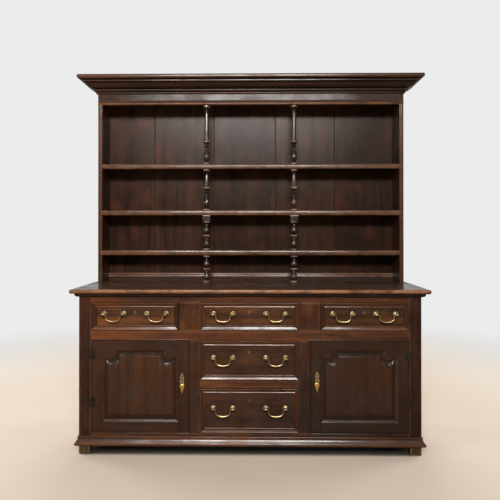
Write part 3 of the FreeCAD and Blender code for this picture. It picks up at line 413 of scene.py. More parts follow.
oak("frame_oak", dark=(0.017, 0.0060, 0.0024), light=(0.092, 0.0240, 0.0046), rubbed=(0.19, 0.078, 0.028),
    wear=0.3, spread=1.05, stain=0.45)
oak("drawer_oak", dark=(0.021, 0.0068, 0.0020), light=(0.100, 0.029, 0.0054), rubbed=(0.23, 0.078, 0.018),
    wear=0.4, spread=0.8, stain=0.3)
oak("door_oak", dark=(0.025, 0.0090, 0.0030), light=(0.058, 0.0180, 0.0042), rubbed=(0.14, 0.062, 0.026),
    wear=0.15)
oak("worktop_oak", dark=(0.026, 0.012, 0.007), light=(0.075, 0.032, 0.016), rubbed=(0.255, 0.115, 0.051),
    wear=0.85)
oak("rack_oak", dark=(0.015, 0.0060, 0.0027), light=(0.066, 0.0215, 0.0062), rubbed=(0.21, 0.090, 0.036),
    wear=0.4, wax=0.3)
oak("turned_oak", dark=(0.011, 0.0058, 0.0040), light=(0.046, 0.0180, 0.0100), rubbed=(0.25, 0.175, 0.115),
    wear=0.7, polish=0.34, wax=0.6, sheen=0.22)
oak("back_oak", dark=(0.013, 0.0062, 0.0036), light=(0.040, 0.0175, 0.0090), rubbed=(0.08, 0.046, 0.028),
    wear=0.3, polish=0.28, wax=0.0, sheen=0.10, stain=0.6, stained=(0.070, 0.018, 0.009), relief=0.0002)
oak("lining_oak", dark=(0.11, 0.065, 0.034), light=(0.24, 0.15, 0.085), rubbed=(0.30, 0.20, 0.12),
    polish=0.7, wax=0.0)
oak("foot_oak", dark=(0.038, 0.020, 0.006), light=(0.105, 0.060, 0.017), rubbed=(0.18, 0.11, 0.04),
    polish=0.6, wax=0.05)
print("oak finishes:", ", ".join(finishes))

# %% [markdown]
# A cabinet is mostly boards and mouldings, so we make a small bench for them. A shape is a row of loops,
# one behind the other, with faces between neighbours: a board is a row of rectangles, a moulding two copies
# of its section, a turning a stack of rings. Wear is written on the corners as we go, because we know where
# edges are.

# %% the bench
SEED = 1847
dice = random.Random(SEED)
X, Y, Z = 0, 1, 2


def rounded_corners(left, right, low, high, inset, cut):
    """A rectangle with its corners cut, moved in by an inset."""
    l, r, b, t = left + inset, right - inset, low + inset, high - inset
    lower = [(l + cut, b), (r - cut, b), (r, b + cut)]
    upper = [(r, t - cut), (r - cut, t), (l + cut, t), (l, t - cut)]
    return lower + upper + [(l, b + cut)]


class Stock:
    """Timber on the bench: corners with wear and tone, and faces with the way their grain runs."""

    def __init__(self):
        self.corners, self.wear, self.tones = [], [], []
        self.faces, self.ways = [], []

    def skin(self, loops, wear, way, tone, capped=True):
        """Faces between neighbouring loops; wear is for each loop, for each place in a loop, or for both."""
        first = len(self.corners)
        size = len(loops[0])
        if not isinstance(wear[0], list):
            by_place = len(wear) == size != len(loops)
            wear = [wear] * len(loops) if by_place else [[worn] * size for worn in wear]
        for number, loop in enumerate(loops):
            self.corners += [tuple(point) for point in loop]
            self.wear += wear[number]
            self.tones += [tone] * size
        for row in range(len(loops) - 1):
            start = first + row * size
            for place in range(size):
                here, beside = start + place, start + (place + 1) % size
                self.faces.append((here, beside, beside + size, here + size))
        if capped:
            last = first + (len(loops) - 1) * size
            self.faces.append(tuple(range(first + size - 1, first - 1, -1)))
            self.faces.append(tuple(range(last, last + size)))
        self.ways += [way] * (len(self.faces) - len(self.ways))

    def eased(self, outline, axis, low, deep, ease, margin, side, way, tone, rubbed=1.0):
        """A board with eased edges; outline gives its points at an inset, and loops run through its depth."""
        across, up = [other for other in (X, Y, Z) if other != axis]
        soft = ease * 0.3
        steps = [(margin, 0, 0), (ease, 0, 0.6), (soft, soft, 1), (0, ease, 0.6), (0, side, 0)]
        steps += [(inset, deep - depth, worn) for inset, depth, worn in reversed(steps)]
        loops = []
        for inset, depth, worn in steps:
            loop = []
            for a, b in outline(inset):
                point = [0, 0, 0]
                point[across], point[up], point[axis] = a, b, low + depth
                loop.append(point)
            loops.append(loop)
        self.skin(loops, [worn * rubbed for inset, depth, worn in steps], way, tone)

    def board(self, low, high, way, tone=None, ease=0.0015, margin=0.012, rubbed=1.0):
        """A squared board between two corners; without a tone the dice give one."""
        tone = dice.random() if tone is None else tone
        spans = [high[axis] - low[axis] for axis in (X, Y, Z)]
        thin = spans.index(min(spans))
        across, up = [axis for axis in (X, Y, Z) if axis != thin]
        margin = min(margin, spans[across] / 4, spans[up] / 4)
        ease = min(ease, spans[thin] / 4)

        def outline(inset):
            return rounded_corners(low[across], high[across], low[up], high[up], inset, ease)

        side = min(margin, spans[thin] / 3)
        self.eased(outline, thin, low[thin], spans[thin], ease, margin, side, way, tone, rubbed)


print("bench ready, dice start at", SEED)

# %% [markdown]
# Every face needs a grain map in metres, from the way its board grew. The map of a board is its own place
# in space, end grain is drawn finer, and turned pieces are unrolled round their axis. The tone moves the
# map, so that no two boards show the same figure.

# %% the grain map
TURNED_RADIUS = 0.02
END_GRAIN = 12
TONE_ALONG, TONE_ACROSS = 5.3, 2.9


def grain_map(mesh, ways, tones):
    """Writes the grain map: u along the fibres and v across them, in metres."""
    layer = mesh.uv_layers.new(name=GRAIN).data
    for face, way in zip(mesh.polygons, ways):
        tone = tones[face.vertices[0]]
        normal = [abs(value) for value in face.normal]
        facing = normal.index(max(normal))
        swing = None
        for corner in face.loop_indices:
            point = mesh.vertices[mesh.loops[corner].vertex_index].co
            if isinstance(way, tuple):
                angle = math.atan2(point.y - way[1], point.x - way[0])
                swing = angle if swing is None else swing
                angle = swing + (angle - swing + math.pi) % (2 * math.pi) - math.pi
                u, v = point.z, angle * TURNED_RADIUS
            else:
                flat = [axis for axis in (X, Y, Z) if axis != facing]
                along = way if way in flat else flat[0]
                across = [axis for axis in flat if axis != along][0]
                u, v = point[along], point[across]
                if way == facing:
                    u = u * END_GRAIN
            layer[corner].uv = (u + tone * TONE_ALONG, v + tone * TONE_ACROSS)


print("a full tone moves the map by", TONE_ALONG, "m along and", TONE_ACROSS, "m across")

# %% [markdown]
# Stock becomes a piece in a few steps: a mesh with its faces turned outwards, wear and tone as attributes,
# its grain map, and smooth shading that stops at sharp edges. Then it rides on its body and stands in for
# nodes of the frame.

# %% from stock to pieces
CREASE = 40


def turn_outwards(mesh, merge=False):
    """Turns all faces of a mesh outwards, and can join corners that coincide."""
    work = bmesh.new()
    work.from_mesh(mesh)
    if merge:
        bmesh.ops.remove_doubles(work, verts=work.verts, dist=0.000001)
    bmesh.ops.recalc_face_normals(work, faces=work.faces)
    work.to_mesh(mesh)
    work.free()


def corner_values(mesh, label, values):
    """Writes one number on each corner of a mesh."""
    mesh.attributes.new(label, "FLOAT", "POINT").data.foreach_set("value", values)


def hang(mesh, name, body, slot, *nodes):
    """A mesh as a piece that rides on a body and stands for nodes of the frame."""
    piece = bpy.data.objects.new(name, mesh)
    scene.collection.objects.link(piece)
    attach(piece, body)
    if nodes:
        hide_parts(*nodes)
    print("%-28s %6d faces on %s" % (name, len(mesh.polygons), body))


def keep(stock, name, body, finish, *nodes, crease=CREASE, slot=None):
    """Turns the stock into a finished piece."""
    mesh = bpy.data.meshes.new(name)
    mesh.from_pydata(stock.corners, [], stock.faces)
    turn_outwards(mesh)
    corner_values(mesh, "wear", stock.wear)
    corner_values(mesh, "tone", stock.tones)
    grain_map(mesh, stock.ways, stock.tones)
    mesh.shade_smooth()
    mesh.set_sharp_from_angle(angle=math.radians(crease))
    mesh.materials.append(finishes[finish])
    hang(mesh, name, body, slot or finish, *nodes)


print("edges above", CREASE, "degrees stay sharp")

# %% [markdown]
# A node of the frame can hold several solids, such as the three shelves. Corners that share a face belong
# to the same solid, so we can tell them apart and read the box of each. Our boards then lie exactly where
# the frame has them, with no sizes copied by hand.

# %% solids of a node
def solids_of(node):
    """The boxes of the separate solids in a node of the frame."""
    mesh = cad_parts[node].data
    keys = [tuple(round(value, 5) for value in vertex.co) for vertex in mesh.vertices]
    parent = {key: key for key in keys}

    def top(key):
        while parent[key] != key:
            key = parent[key]
        return key

    for face in mesh.polygons:
        first = top(keys[face.vertices[0]])
        for vertex in face.vertices[1:]:
            parent[top(keys[vertex])] = first
    groups = {}
    for key in parent:
        groups.setdefault(top(key), []).append(key)
    boxes = []
    for group in groups.values():
        low, high = [tuple(pick(key[axis] for key in group) for axis in (X, Y, Z)) for pick in (min, max)]
        boxes.append((low, high))
    return sorted(boxes)


print("the rack has", len(solids_of("rack_shelves")), "shelves")

# %% [markdown]
# The posts, rails, muntins, backboards and feet are plain timbers, so the frame's own boxes are all we
# need. Each solid becomes a board with eased, rubbed edges. Front and back rails grow along X, end rails
# along Y, and posts and muntins along Z.

# %% plain timbers of the base and rack
def timbers(node, finish, way, ease=0.001, tones=(0.0, 1.0)):
    """All solids of a node as plain boards, with tones from a range."""
    stock = Stock()
    for low, high in solids_of(node):
        stock.board(low, high, way, dice.uniform(*tones), ease)
    keep(stock, node + "_boards", "carcass", finish, node)


timbers("corner_posts", "frame_oak", Z, ease=0.002, tones=(0.05, 0.25))
timbers("front_rails", "frame_oak", X, ease=0.0012, tones=(0.45, 0.9))
timbers("muntins", "frame_oak", Z, ease=0.0012, tones=(0.1, 0.45))
timbers("end_rails", "frame_oak", Y, ease=0.0012, tones=(0.2, 0.7))
timbers("base_backboards", "lining_oak", Z)
timbers("back_rails", "lining_oak", X)
timbers("partitions", "lining_oak", Z)
timbers("feet", "foot_oak", Z, ease=0.003)
timbers("rack_top_board", "rack_oak", X)

# %% [markdown]
# The boards at the back of the rack are as wide as the tree gave. They shrank over the years, and a loose
# tongue in each joint keeps the light out, so most joints show as thin dark lines. Wear below zero makes
# their edges dirty.

# %% backboards of the rack
TONGUE_HALF, TONGUE_FRONT, TONGUE_BACK, TONGUE_SHORT = 0.005, 0.2475, 0.2515, 0.002
stock = Stock()
backboards = solids_of("rack_backboards")
for low, high in backboards:
    stock.board(low, high, Z, ease=0.0012, margin=0.006, rubbed=-0.8)
for (low, high), (next_low, next_high) in zip(backboards, backboards[1:]):
    joint = (high[X] + next_low[X]) / 2
    foot = (joint - TONGUE_HALF, TONGUE_FRONT, low[Z] + TONGUE_SHORT)
    head = (joint + TONGUE_HALF, TONGUE_BACK, high[Z] - TONGUE_SHORT)
    stock.board(foot, head, Z, tone=0.0, ease=0.0003, rubbed=0)
keep(stock, "rack_backboards_boards", "carcass", "back_oak", "rack_backboards")

# %% [markdown]
# Mouldings are cut from a section, a line that a plane would leave. We write each section as points with
# their wear, draw its curves as arcs, and stretch it from mitre to mitre. A real joiner cuts three lengths
# for a cornice, so we do too: each has its own tone, and the mitre shows as a fine change of grain.

# %% sections and mitred lengths
QUARTER = math.tan(math.pi / 8)


def arc(start, end, bulge, count=7):
    """Points of an arc after its start; bulge is the tangent of a quarter of its turn."""
    turn = 4 * math.atan(bulge)
    radius = 1 / (2 * math.sin(turn / 2))
    wide, high = end[0] - start[0], end[1] - start[1]
    points = []
    for part in range(1, count + 1):
        angle = turn * (part / count - 0.5)
        along = 0.5 + radius * math.sin(angle)
        aside = radius * (math.cos(turn / 2) - math.cos(angle))
        points.append((start[0] + wide * along - high * aside, start[1] + high * along + wide * aside))
    return points


def section(*steps):
    """A section from steps of (out, up, wear) or (out, up, wear, bulge), with its curves drawn out."""
    points = []
    for step in steps:
        if len(step) == 4:
            for out, up in arc(points[-1][:2], step[:2], step[3]):
                points.append((out, up, step[2]))
        else:
            points.append(step)
    return points


def wear_of(steps):
    """The wear of each step, which is its last number."""
    return [step[-1] for step in steps]


def three_sides(stock, profile, half, front, back, z):
    """A moulding along the front and back along both ends, mitred at the front corners."""
    turns = [(-half, back, -1, 0), (-half, front, -1, -1), (half, front, 1, -1), (half, back, 1, 0)]
    for way, *ends in zip((Y, X, Y), turns, turns[1:]):
        loops = []
        for x, y, a, b in ends:
            loops.append([(x + a * out, y + b * out, z + up) for out, up, worn in profile])
        stock.skin(loops, wear_of(profile), way, dice.random())


def four_sides(stock, profile, left, right, low, high, y, painted_side_shade):
    """A frame that faces the front, mitred at its corners; the section runs inwards and out from a plane."""
    turns = [(left, low, 1, 1), (right, low, -1, 1), (right, high, -1, -1), (left, high, 1, -1)]
    for number in range(4):
        loops = []
        for x, z, a, b in (turns[number], turns[(number + 1) % 4]):
            loops.append([(x + a * inward, y - out, z + b * inward) for inward, out, worn in profile])
        # the upright lengths are made darker: painted shade on the sides of the frame
        level = number % 2 == 0
        wear = [worn if level else worn - painted_side_shade for worn in wear_of(profile)]
        stock.skin(loops, wear, X if level else Z, dice.random())


print("a quarter round has a bulge of", round(QUARTER, 4))

# %% [markdown]
# Three mouldings go round the front and both ends: a small cove under the worktop, the plinth, and the
# cornice with its beads, its long double curve and its rounded top. Wear below zero darkens the cove under
# the worktop, every quirk of the cornice, and the foot, quirk and top of the plinth: dirt, and painted shade
# where these parts are hidden from the light. The cornice is too high to be rubbed, while feet and brooms
# keep the plinth bright.

# %% cove, plinth and cornice
FRAME_HALF, FRAME_FACE, FRAME_BACK = 0.877, -0.217, 0.238
WORKTOP_LOW, WORKTOP_TOP = 0.826, 0.848
COVE, PLINTH_LOW = 0.018, 0.048
RACK_FRONT, RACK_BACK, CORNICE_BACK, CORNICE_LOW = 0.092, 0.243, 0.255, 1.934

# wear below zero here is dirt and painted shade: under the worktop and in the quirks
cove = section((0, 0, -0.6), (0.003, 0, 0.1), (COVE, 0.015, -0.6, QUARTER), (COVE, COVE, -0.3), (0, COVE, 0))
plinth = section(
    # foot and broad round
    (0, 0, -0.5), (0.0150, 0, 0.5), (0.0178, 0.0125, 0.7, 0.3),
    # long slope, then the quirk
    (0.0070, 0.0285, 0.3, -0.04), (0.0040, 0.0385, -0.2, -0.1), (0.0045, 0.0390, -0.6),
    # bead on top
    (0.0045, 0.045, 0.9, 0.5), (0, 0.045, -0.6))
cornice = section(
    # lowest bead and its quirk
    (0, 0, 0), (0.007, 0, -0.2), (0.007, 0.010, 0.0, 0.55), (0.004, 0.0105, -0.8), (0.004, 0.0125, -0.8),
    # second bead and its quirk
    (0.014, 0.0135, -0.3), (0.017, 0.0235, -0.2, 0.35), (0.013, 0.0245, -0.8), (0.013, 0.0265, -0.8),
    # double curve
    (0.024, 0.028, -0.3), (0.048, 0.042, -0.3, 0.25), (0.070, 0.056, -0.4, -0.25), (0.072, 0.0565, -0.4),
    # fillet and its quirk
    (0.072, 0.0615, -0.2), (0.065, 0.0625, -0.8), (0.065, 0.0655, -0.8), (0.083, 0.067, -0.3),
    # rounded top
    (0.092, 0.076, 0.1, QUARTER), (0.092, 0.083, 0.3), (0.084, 0.091, 0.4, QUARTER), (0, 0.091, 0))

stock = Stock()
three_sides(stock, cove, FRAME_HALF, FRAME_FACE, FRAME_BACK, WORKTOP_LOW - COVE)
keep(stock, "worktop_cove_moulding", "carcass", "frame_oak", "worktop_cove")

stock = Stock()
three_sides(stock, plinth, FRAME_HALF, FRAME_FACE, FRAME_BACK, PLINTH_LOW)
keep(stock, "plinth_lengths", "carcass", "frame_oak", "plinth_moulding")

stock = Stock()
three_sides(stock, cornice, FRAME_HALF, RACK_FRONT, CORNICE_BACK, CORNICE_LOW)
keep(stock, "cornice_lengths", "carcass", "rack_oak", "cornice")

# %% [markdown]
# Two hundred years of hands leave no edge straight. The worktop and the shelves are therefore cut into
# stations along their length, and each station's nose is planed back by a slow random amount, never more
# than two millimetres. The light then breaks along the edges as it does on the real boards.

# %% edges that wander
NOSE_DEEP = 0.02


def slow_wave(seed, strength, pitch):
    """A slow random curve along a length, from 0 to its strength."""
    own = random.Random(seed)
    parts = [(own.uniform(0.6, 1.6) / pitch, own.uniform(0, 6.3)) for number in range(4)]

    def wave(x):
        total = sum(math.sin(2 * math.pi * rate * x + phase) for rate, phase in parts)
        return strength * (0.5 + total / 8)
    return wave


def long_board(stock, profile, half, stations, seed, tone, shy=0.0009):
    """A moulded board along X whose front edge wanders a little; the section is (y, z, wear)."""
    wave = slow_wave(seed, shy, 0.3)
    front = min(y for y, z, worn in profile)
    loops = []
    for number in range(stations + 1):
        x = -half + 2 * half * number / stations
        loops.append([(x, y + wave(x) * max(0, 1 - (y - front) / NOSE_DEEP), z) for y, z, worn in profile])
    stock.skin(loops, wear_of(profile), X, tone)


print("the front", NOSE_DEEP, "m of a board wander")

# %% [markdown]
# The three shelves have a rounded upper edge and a nearly flat nose. The frieze board under the cornice
# carries a bead on its lower edge, and a low rail with two beads lies on the worktop. All three are
# sections carried along X.

# %% shelves, frieze and low rail
SHELF_TOPS, SHELF_THICK = (1.531, 1.264, 1.034), 0.028
TRENCH, RACK_INNER = 0.862, 0.854
FRIEZE_BACK, FRIEZE_LOW, RACK_TOP = 0.122, 1.872, 2.010
RAIL_FACE, RAIL_TOP = 0.2275, 0.894


def shelf_section(top):
    """A shelf with a rounded upper edge, a nearly flat nose and a softened lower edge."""
    low = top - SHELF_THICK
    return section(
        # back and flat top
        (RACK_BACK, low, 0), (RACK_BACK, top, 0), (RACK_FRONT + 0.020, top, 0),
        # rounded upper edge and nose
        (RACK_FRONT + 0.005, top, 0.5), (RACK_FRONT + 0.0024, top - 0.002, 0.9, QUARTER),
        (RACK_FRONT, top - 0.0135, 0.7, 0.07), (RACK_FRONT, low + 0.005, 0.8),
        # softened lower edge
        (RACK_FRONT + 0.005, low, 0.6, QUARTER), (RACK_FRONT + 0.018, low, 0))


# wear below zero darkens and dulls the face of the frieze under the cornice: painted shade
frieze = section(
    # plain face of the board
    (FRIEZE_BACK, FRIEZE_LOW, 0), (FRIEZE_BACK, RACK_TOP, 0), (RACK_FRONT, RACK_TOP, -0.45),
    (RACK_FRONT, FRIEZE_LOW + 0.028, -0.45), (RACK_FRONT, FRIEZE_LOW + 0.015, -0.3),
    # bead on its lower edge
    (RACK_FRONT + 0.0005, FRIEZE_LOW + 0.014, 0.3), (RACK_FRONT, FRIEZE_LOW, 1.0, 0.5),
    (RACK_FRONT + 0.008, FRIEZE_LOW, 0.3))
# the quirks of the low rail and its foot on the worktop are darkened: painted shade, with dirt
low_rail = section(
    (RACK_BACK, WORKTOP_TOP, 0), (RACK_BACK, RAIL_TOP, 0.3), (0.2305, RAIL_TOP, 0.8),
    # upper bead and its quirk
    (0.2285, 0.8925, 0.9, QUARTER), (0.2260, 0.8855, 0.8, 0.07),
    (RAIL_FACE, 0.8845, -0.8), (RAIL_FACE, 0.8825, -0.8),
    # lower bead and the plain face below it
    (0.2262, 0.8815, 0.6), (0.2240, 0.8745, 0.8, 0.07), (0.2240, 0.868, 0.3), (RAIL_FACE, 0.8665, -0.8),
    (RAIL_FACE, WORKTOP_TOP, -0.5))

stock = Stock()
for seed, top in enumerate(SHELF_TOPS):
    long_board(stock, shelf_section(top), TRENCH, 60, seed, tone=0.35 + 0.15 * seed)
keep(stock, "rack_shelf_boards", "carcass", "rack_oak", "rack_shelves")

stock = Stock()
long_board(stock, frieze, FRAME_HALF, stations=60, seed=7, tone=0.55, shy=0.0004)
keep(stock, "frieze_moulded_board", "carcass", "rack_oak", "frieze_board")

stock = Stock()
long_board(stock, low_rail, RACK_INNER, stations=40, seed=9, tone=0.4, shy=0.0003)
keep(stock, "low_rail_board", "carcass", "rack_oak", "rack_bottom_rail")

# %% [markdown]
# The worktop is rounded on three sides, so its section runs round it as loops: each loop goes up one end,
# along the front and down the other end, and the back is straight. The same slow waves plane its edge, and
# the edge is the most rubbed place on the whole piece. Its pale rubbed colour, stronger on the upper round
# than below, is real wear and partly a painted highlight.

# %% worktop
HALF_TOP, TOP_FRONT, TOP_BACK = 0.915, -0.255, 0.255
END_PARTS, HALF_PARTS = 15, 45
# the wear on the rounded upper edge is rubbed wear and partly a painted highlight
edge = section(
    # flat top and rounded upper edge
    (0.06, WORKTOP_TOP, 0), (0.02, WORKTOP_TOP, 0.12), (0.007, WORKTOP_TOP, 0.7),
    (0, WORKTOP_TOP - 0.008, 1.0, QUARTER), (0, WORKTOP_TOP - 0.0125, 1.0),
    # rounded lower edge
    (0.009, WORKTOP_LOW, 0.25, QUARTER), (0.05, WORKTOP_LOW, 0))
front_wave = slow_wave(seed=21, strength=0.0016, pitch=0.35)
end_wave = slow_wave(seed=22, strength=0.0012, pitch=0.2)
stock = Stock()
loops = []
for inset, z, worn in edge:
    front, half = TOP_FRONT + inset, HALF_TOP - inset
    ends = [TOP_BACK + (front - TOP_BACK) * number / END_PARTS for number in range(END_PARTS)]
    across = [half * (number / HALF_PARTS - 1) for number in range(2 * HALF_PARTS + 1)]
    loop = [(-half + end_wave(y), y, z) for y in ends]
    loop += [(x, front + front_wave(x), z) for x in across]
    loop += [(half - end_wave(y), y, z) for y in reversed(ends)]
    loops.append(loop)
stock.skin(loops, wear_of(edge), X, 0.45)
keep(stock, "worktop_board", "carcass", "worktop_oak", "worktop")

# %% [markdown]
# The side boards of the rack are trenched for the shelves: the shelf ends show at the front as short joint
# lines. We lay each side up from an outer board and inner strips between the shelves. The outer board is a
# flat slab cut to the side's outline, notched at the top where the frieze crosses it.

# %% uprights of the rack
def inset_outline(points, distance):
    """A closed outline, anticlockwise, moved inwards."""
    moved = []
    for number, (x, y) in enumerate(points):
        before = Vector((x, y)) - Vector(points[number - 1])
        after = Vector(points[(number + 1) % len(points)]) - Vector((x, y))
        before.normalize()
        after.normalize()
        side = Vector((-before.y - after.y, before.x + after.x))
        moved.append(tuple(Vector((x, y)) + side * (distance / max(0.2, 1 + before.dot(after)))))
    return moved


def slab(stock, outline, axis, low, high, way, tone, ease=0.0012, margin=0.005):
    """A board of any outline, with eased edges; the outline is in the two other axes."""
    deep = high - low
    ease = min(ease, deep / 4)
    side = min(0.006, deep / 3)
    stock.eased(lambda inset: inset_outline(outline, inset), axis, low, deep, ease, margin, side, way, tone)


def mirrored(side, near, far):
    """The lower and upper limit of a span on the right, or of its mirror on the left."""
    return sorted((side * near, side * far))


side_outline = [
    (RACK_FRONT, WORKTOP_TOP), (RACK_BACK, WORKTOP_TOP), (RACK_BACK, RACK_TOP), (FRIEZE_BACK, RACK_TOP),
    (FRIEZE_BACK, FRIEZE_LOW), (RACK_FRONT, FRIEZE_LOW)]
floors = [WORKTOP_TOP] + sorted(SHELF_TOPS)
tiers = list(zip(floors, [top - SHELF_THICK for top in floors[1:]] + [FRIEZE_LOW]))
stock = Stock()
for side in (-1, 1):
    tone = dice.random()
    left, right = mirrored(side, TRENCH, FRAME_HALF)
    slab(stock, side_outline, X, left, right, Z, tone)
    left, right = mirrored(side, RACK_INNER, TRENCH)
    for low, high in tiers:
        stock.board((left, RACK_FRONT, low), (right, RACK_BACK, high), Z, tone, 0.0003)
    stock.board((left, FRIEZE_BACK, FRIEZE_LOW), (right, RACK_BACK, RACK_TOP), Z, tone, 0.0003)
keep(stock, "rack_upright_boards", "carcass", "rack_oak", "rack_uprights")

# %% [markdown]
# The spindles were turned on a lathe, so each is one outline spun round an upright line. We build the
# outline from the cuts a turner makes: flat discs, half-round beads, a vase with its belly low down, and a
# slow taper. Rims are rubbed pale, partly a painted highlight, and the necks and grooves are darkened by
# dirt and painted shade.

# %% cuts of the turner
RIM, REEL, NECK, BELLY = 0.0203, 0.0160, 0.0070, 0.0192


def disc(low, high, radius=RIM):
    """A disc with slightly rounded rims."""
    soft = min(0.0018, (high - low) / 3)
    inner = radius - soft
    # rims rubbed pale, partly a painted highlight; the lower edge darker than the upper: painted shade
    return [(inner, low, -0.5), (radius, low + soft, 0.9), (radius, high - soft, 1), (inner, high, 0.5)]


def groove(up):
    """A narrow groove, darkened to near black: dirt and painted shade."""
    return [(0.009, up, -0.9)]


def swell(low, high, neck, proud, count=8, crown=0.5):
    """A bead or belly between two necks; crown is the share of the height where it is widest."""
    points = []
    for number in range(count + 1):
        share = number / count
        if share < crown:
            rise = math.sin(math.pi / 2 * share / crown)
        else:
            rise = 0.5 + 0.5 * math.cos(math.pi * (share - crown) / (1 - crown))
        # wear peaks at the crown and falls below zero at the necks: dirt and painted shade
        points.append((neck + (proud - neck) * rise, low + (high - low) * share, rise ** 2 * 0.9 - 0.7))
    return points


def vase(low, high):
    """A vase with its belly low down."""
    return swell(low, high, NECK, BELLY, count=14, crown=0.36)


def taper(low, high, foot, head):
    """A plain column that narrows upwards, a little fuller in the middle."""
    points = []
    for number in range(7):
        share = number / 6
        radius = foot + (head - foot) * share + 0.0012 * math.sin(math.pi * share)
        points.append((radius, low + (high - low) * share, 0.1))
    return points


print("a vase takes", len(vase(0, 1)), "cuts")

# %% [markdown]
# The two upper tiers have a column on a vase, the two lower ones have double vases, and the third from the
# top carries a square block under its shelf. A pattern is a list of cuts from the foot up, made to the
# height of its tier.

# %% turned spindles
SPINDLE_X, SPINDLE_Y, BLOCK_HALF, BLOCK_HIGH = 0.253, 0.12, 0.023, 0.032


def column_pattern(high):
    """Base, vase, reel, collar, tapering column, bead and cap."""
    cuts = disc(0, 0.010) + groove(0.0125) + vase(0.0135, 0.096)
    cuts += swell(0.099, 0.115, NECK + 0.001, REEL) + groove(0.1165) + disc(0.126, 0.137)
    cuts += taper(0.1405, high - 0.030, 0.0136, 0.0092)
    return cuts + swell(high - 0.028, high - 0.0145, 0.0085, REEL) + disc(high - 0.011, high)


def double_vase_pattern(high):
    """Base, two vases with a disc between them, and a cap."""
    foot, collar, gap = 0.011, 0.010, 0.0015
    tall = (high - 2 * foot - collar - 4 * gap) / 2
    above = foot + 2 * gap + tall
    cuts = disc(0, foot) + vase(foot + gap, foot + gap + tall) + disc(above, above + collar)
    return cuts + vase(above + collar + gap, above + collar + tall) + disc(high - foot, high)


def spokes(count):
    """Angles evenly round a circle."""
    return [2 * math.pi * number / count for number in range(count)]


def turn(stock, cuts, x, y, z, tone, steps=28):
    """Spins an outline of (radius, height, wear) round an upright line."""
    loops = []
    for radius, up, worn in cuts:
        loops.append([(x + radius * math.cos(a), y + radius * math.sin(a), z + up) for a in spokes(steps)])
    stock.skin(loops, wear_of(cuts), (x, y), tone)


block_top = tiers[1][1]
block_low = block_top - BLOCK_HIGH
stock = Stock()
for x in (-SPINDLE_X, SPINDLE_X):
    for low, high in reversed(tiers):
        pattern = column_pattern if low > block_top else double_vase_pattern
        high = block_low if high == block_top else high
        turn(stock, pattern(high - low), x, SPINDLE_Y, low, dice.random())
    foot = (x - BLOCK_HALF, SPINDLE_Y - BLOCK_HALF, block_low)
    head = (x + BLOCK_HALF, SPINDLE_Y + BLOCK_HALF, block_top)
    stock.board(foot, head, Z, tone=0.4, margin=0.006, rubbed=0.4)
keep(stock, "turned_spindles", "carcass", "turned_oak", "rack_spindles", slot="rack_oak")

# %% [markdown]
# Hands left their marks on the drawers: dirt round the posts and the keyhole, and a rubbed streak below the
# grips. A function of the place on the front gives the wear there, so the marks follow each drawer's own
# handles.

# %% hand marks on the drawers
# the tones fall from the top row to the bottom drawer, so the lower drawers are darker: painted shade
DRAWERS = {
    "top_left_drawer": {"grip": 0.110, "tone": 0.8, "keyhole": 0.729},
    "top_middle_drawer": {"grip": 0.135, "tone": 0.55, "keyhole": 0.729},
    "top_right_drawer": {"grip": 0.110, "tone": 0.6, "keyhole": 0.729},
    "centre_drawer": {"grip": 0.135, "tone": 0.15, "keyhole": 0.525},
    "bottom_drawer": {"grip": 0.135, "tone": 0.05, "keyhole": 0.279},
}
POST_REACH = 0.050
POST_DIRT, KEY_WIDE, KEY_HIGH, STREAK_UP, STREAK_HIGH = 0.028, 0.038, 0.019, 0.047, 0.014
streaks = slow_wave(seed=33, strength=0.6, pitch=0.25)


def hand_marks(drawer, x, z, middle, low, pivot):
    """Dirt round the handle posts and the keyhole, and a rubbed streak below the grips."""
    facts = DRAWERS[drawer]
    posts = [middle + side * facts["grip"] + reach for side in (-1, 1) for reach in (-POST_REACH, POST_REACH)]
    near = min(math.hypot(x - post, z - pivot) for post in posts)
    darkening = 0.7 * math.exp(-(near / POST_DIRT) ** 2)
    ghost = 0.6 if drawer == "top_left_drawer" else 0.2
    darkening += ghost * math.exp(-((x - middle) / KEY_WIDE) ** 4 - ((z - facts["keyhole"]) / KEY_HIGH) ** 4)
    streak = (0.4 + streaks(x)) * math.exp(-((z - low - STREAK_UP) / STREAK_HIGH) ** 2)
    return facts["tone"] * streak * (1 - darkening) - darkening


print("drawers:", ", ".join(DRAWERS))

# %% [markdown]
# A drawer front is a flat board with an applied moulding mitred round it, which leaves a sunk field for the
# handles. The moulding has a rounded ridge outside, a long hollow slope, and inside a bead with a long
# flank. The lower length faces up to the light, so its slope is the brightest line on the front. Behind the
# front is a plain dry oak box.

# %% drawers
FIELD, FRONT_THICK = -0.213, 0.02
COLUMNS, ROWS = 48, 16
BOX_SIDE, BOTTOM_LOW, BOTTOM_TOP, BOTTOM_BOARDS = 0.010, 0.006, 0.014, 3
JUST_PROUD = 0.00005
# wear below zero darkens the outer face and the quirks of the moulding: dirt and painted shade
drawer_moulding = section(
    # outer face and rounded ridge
    (0, 0, -0.5), (0, 0.0095, -0.2), (0.0016, 0.0116, 0.3, -QUARTER), (0.0026, 0.0117, 0.4),
    # long hollow slope and the quirk
    (0.0165, 0.0058, 0.1, 0.030), (0.0168, 0.0038, -0.9), (0.0172, 0.0040, 0.2),
    # bead with a long flank
    (0.0216, 0.0058, 0.4, -0.04), (0.0256, 0.0010, 0.3, -0.42), (0.026, 0, -0.9))


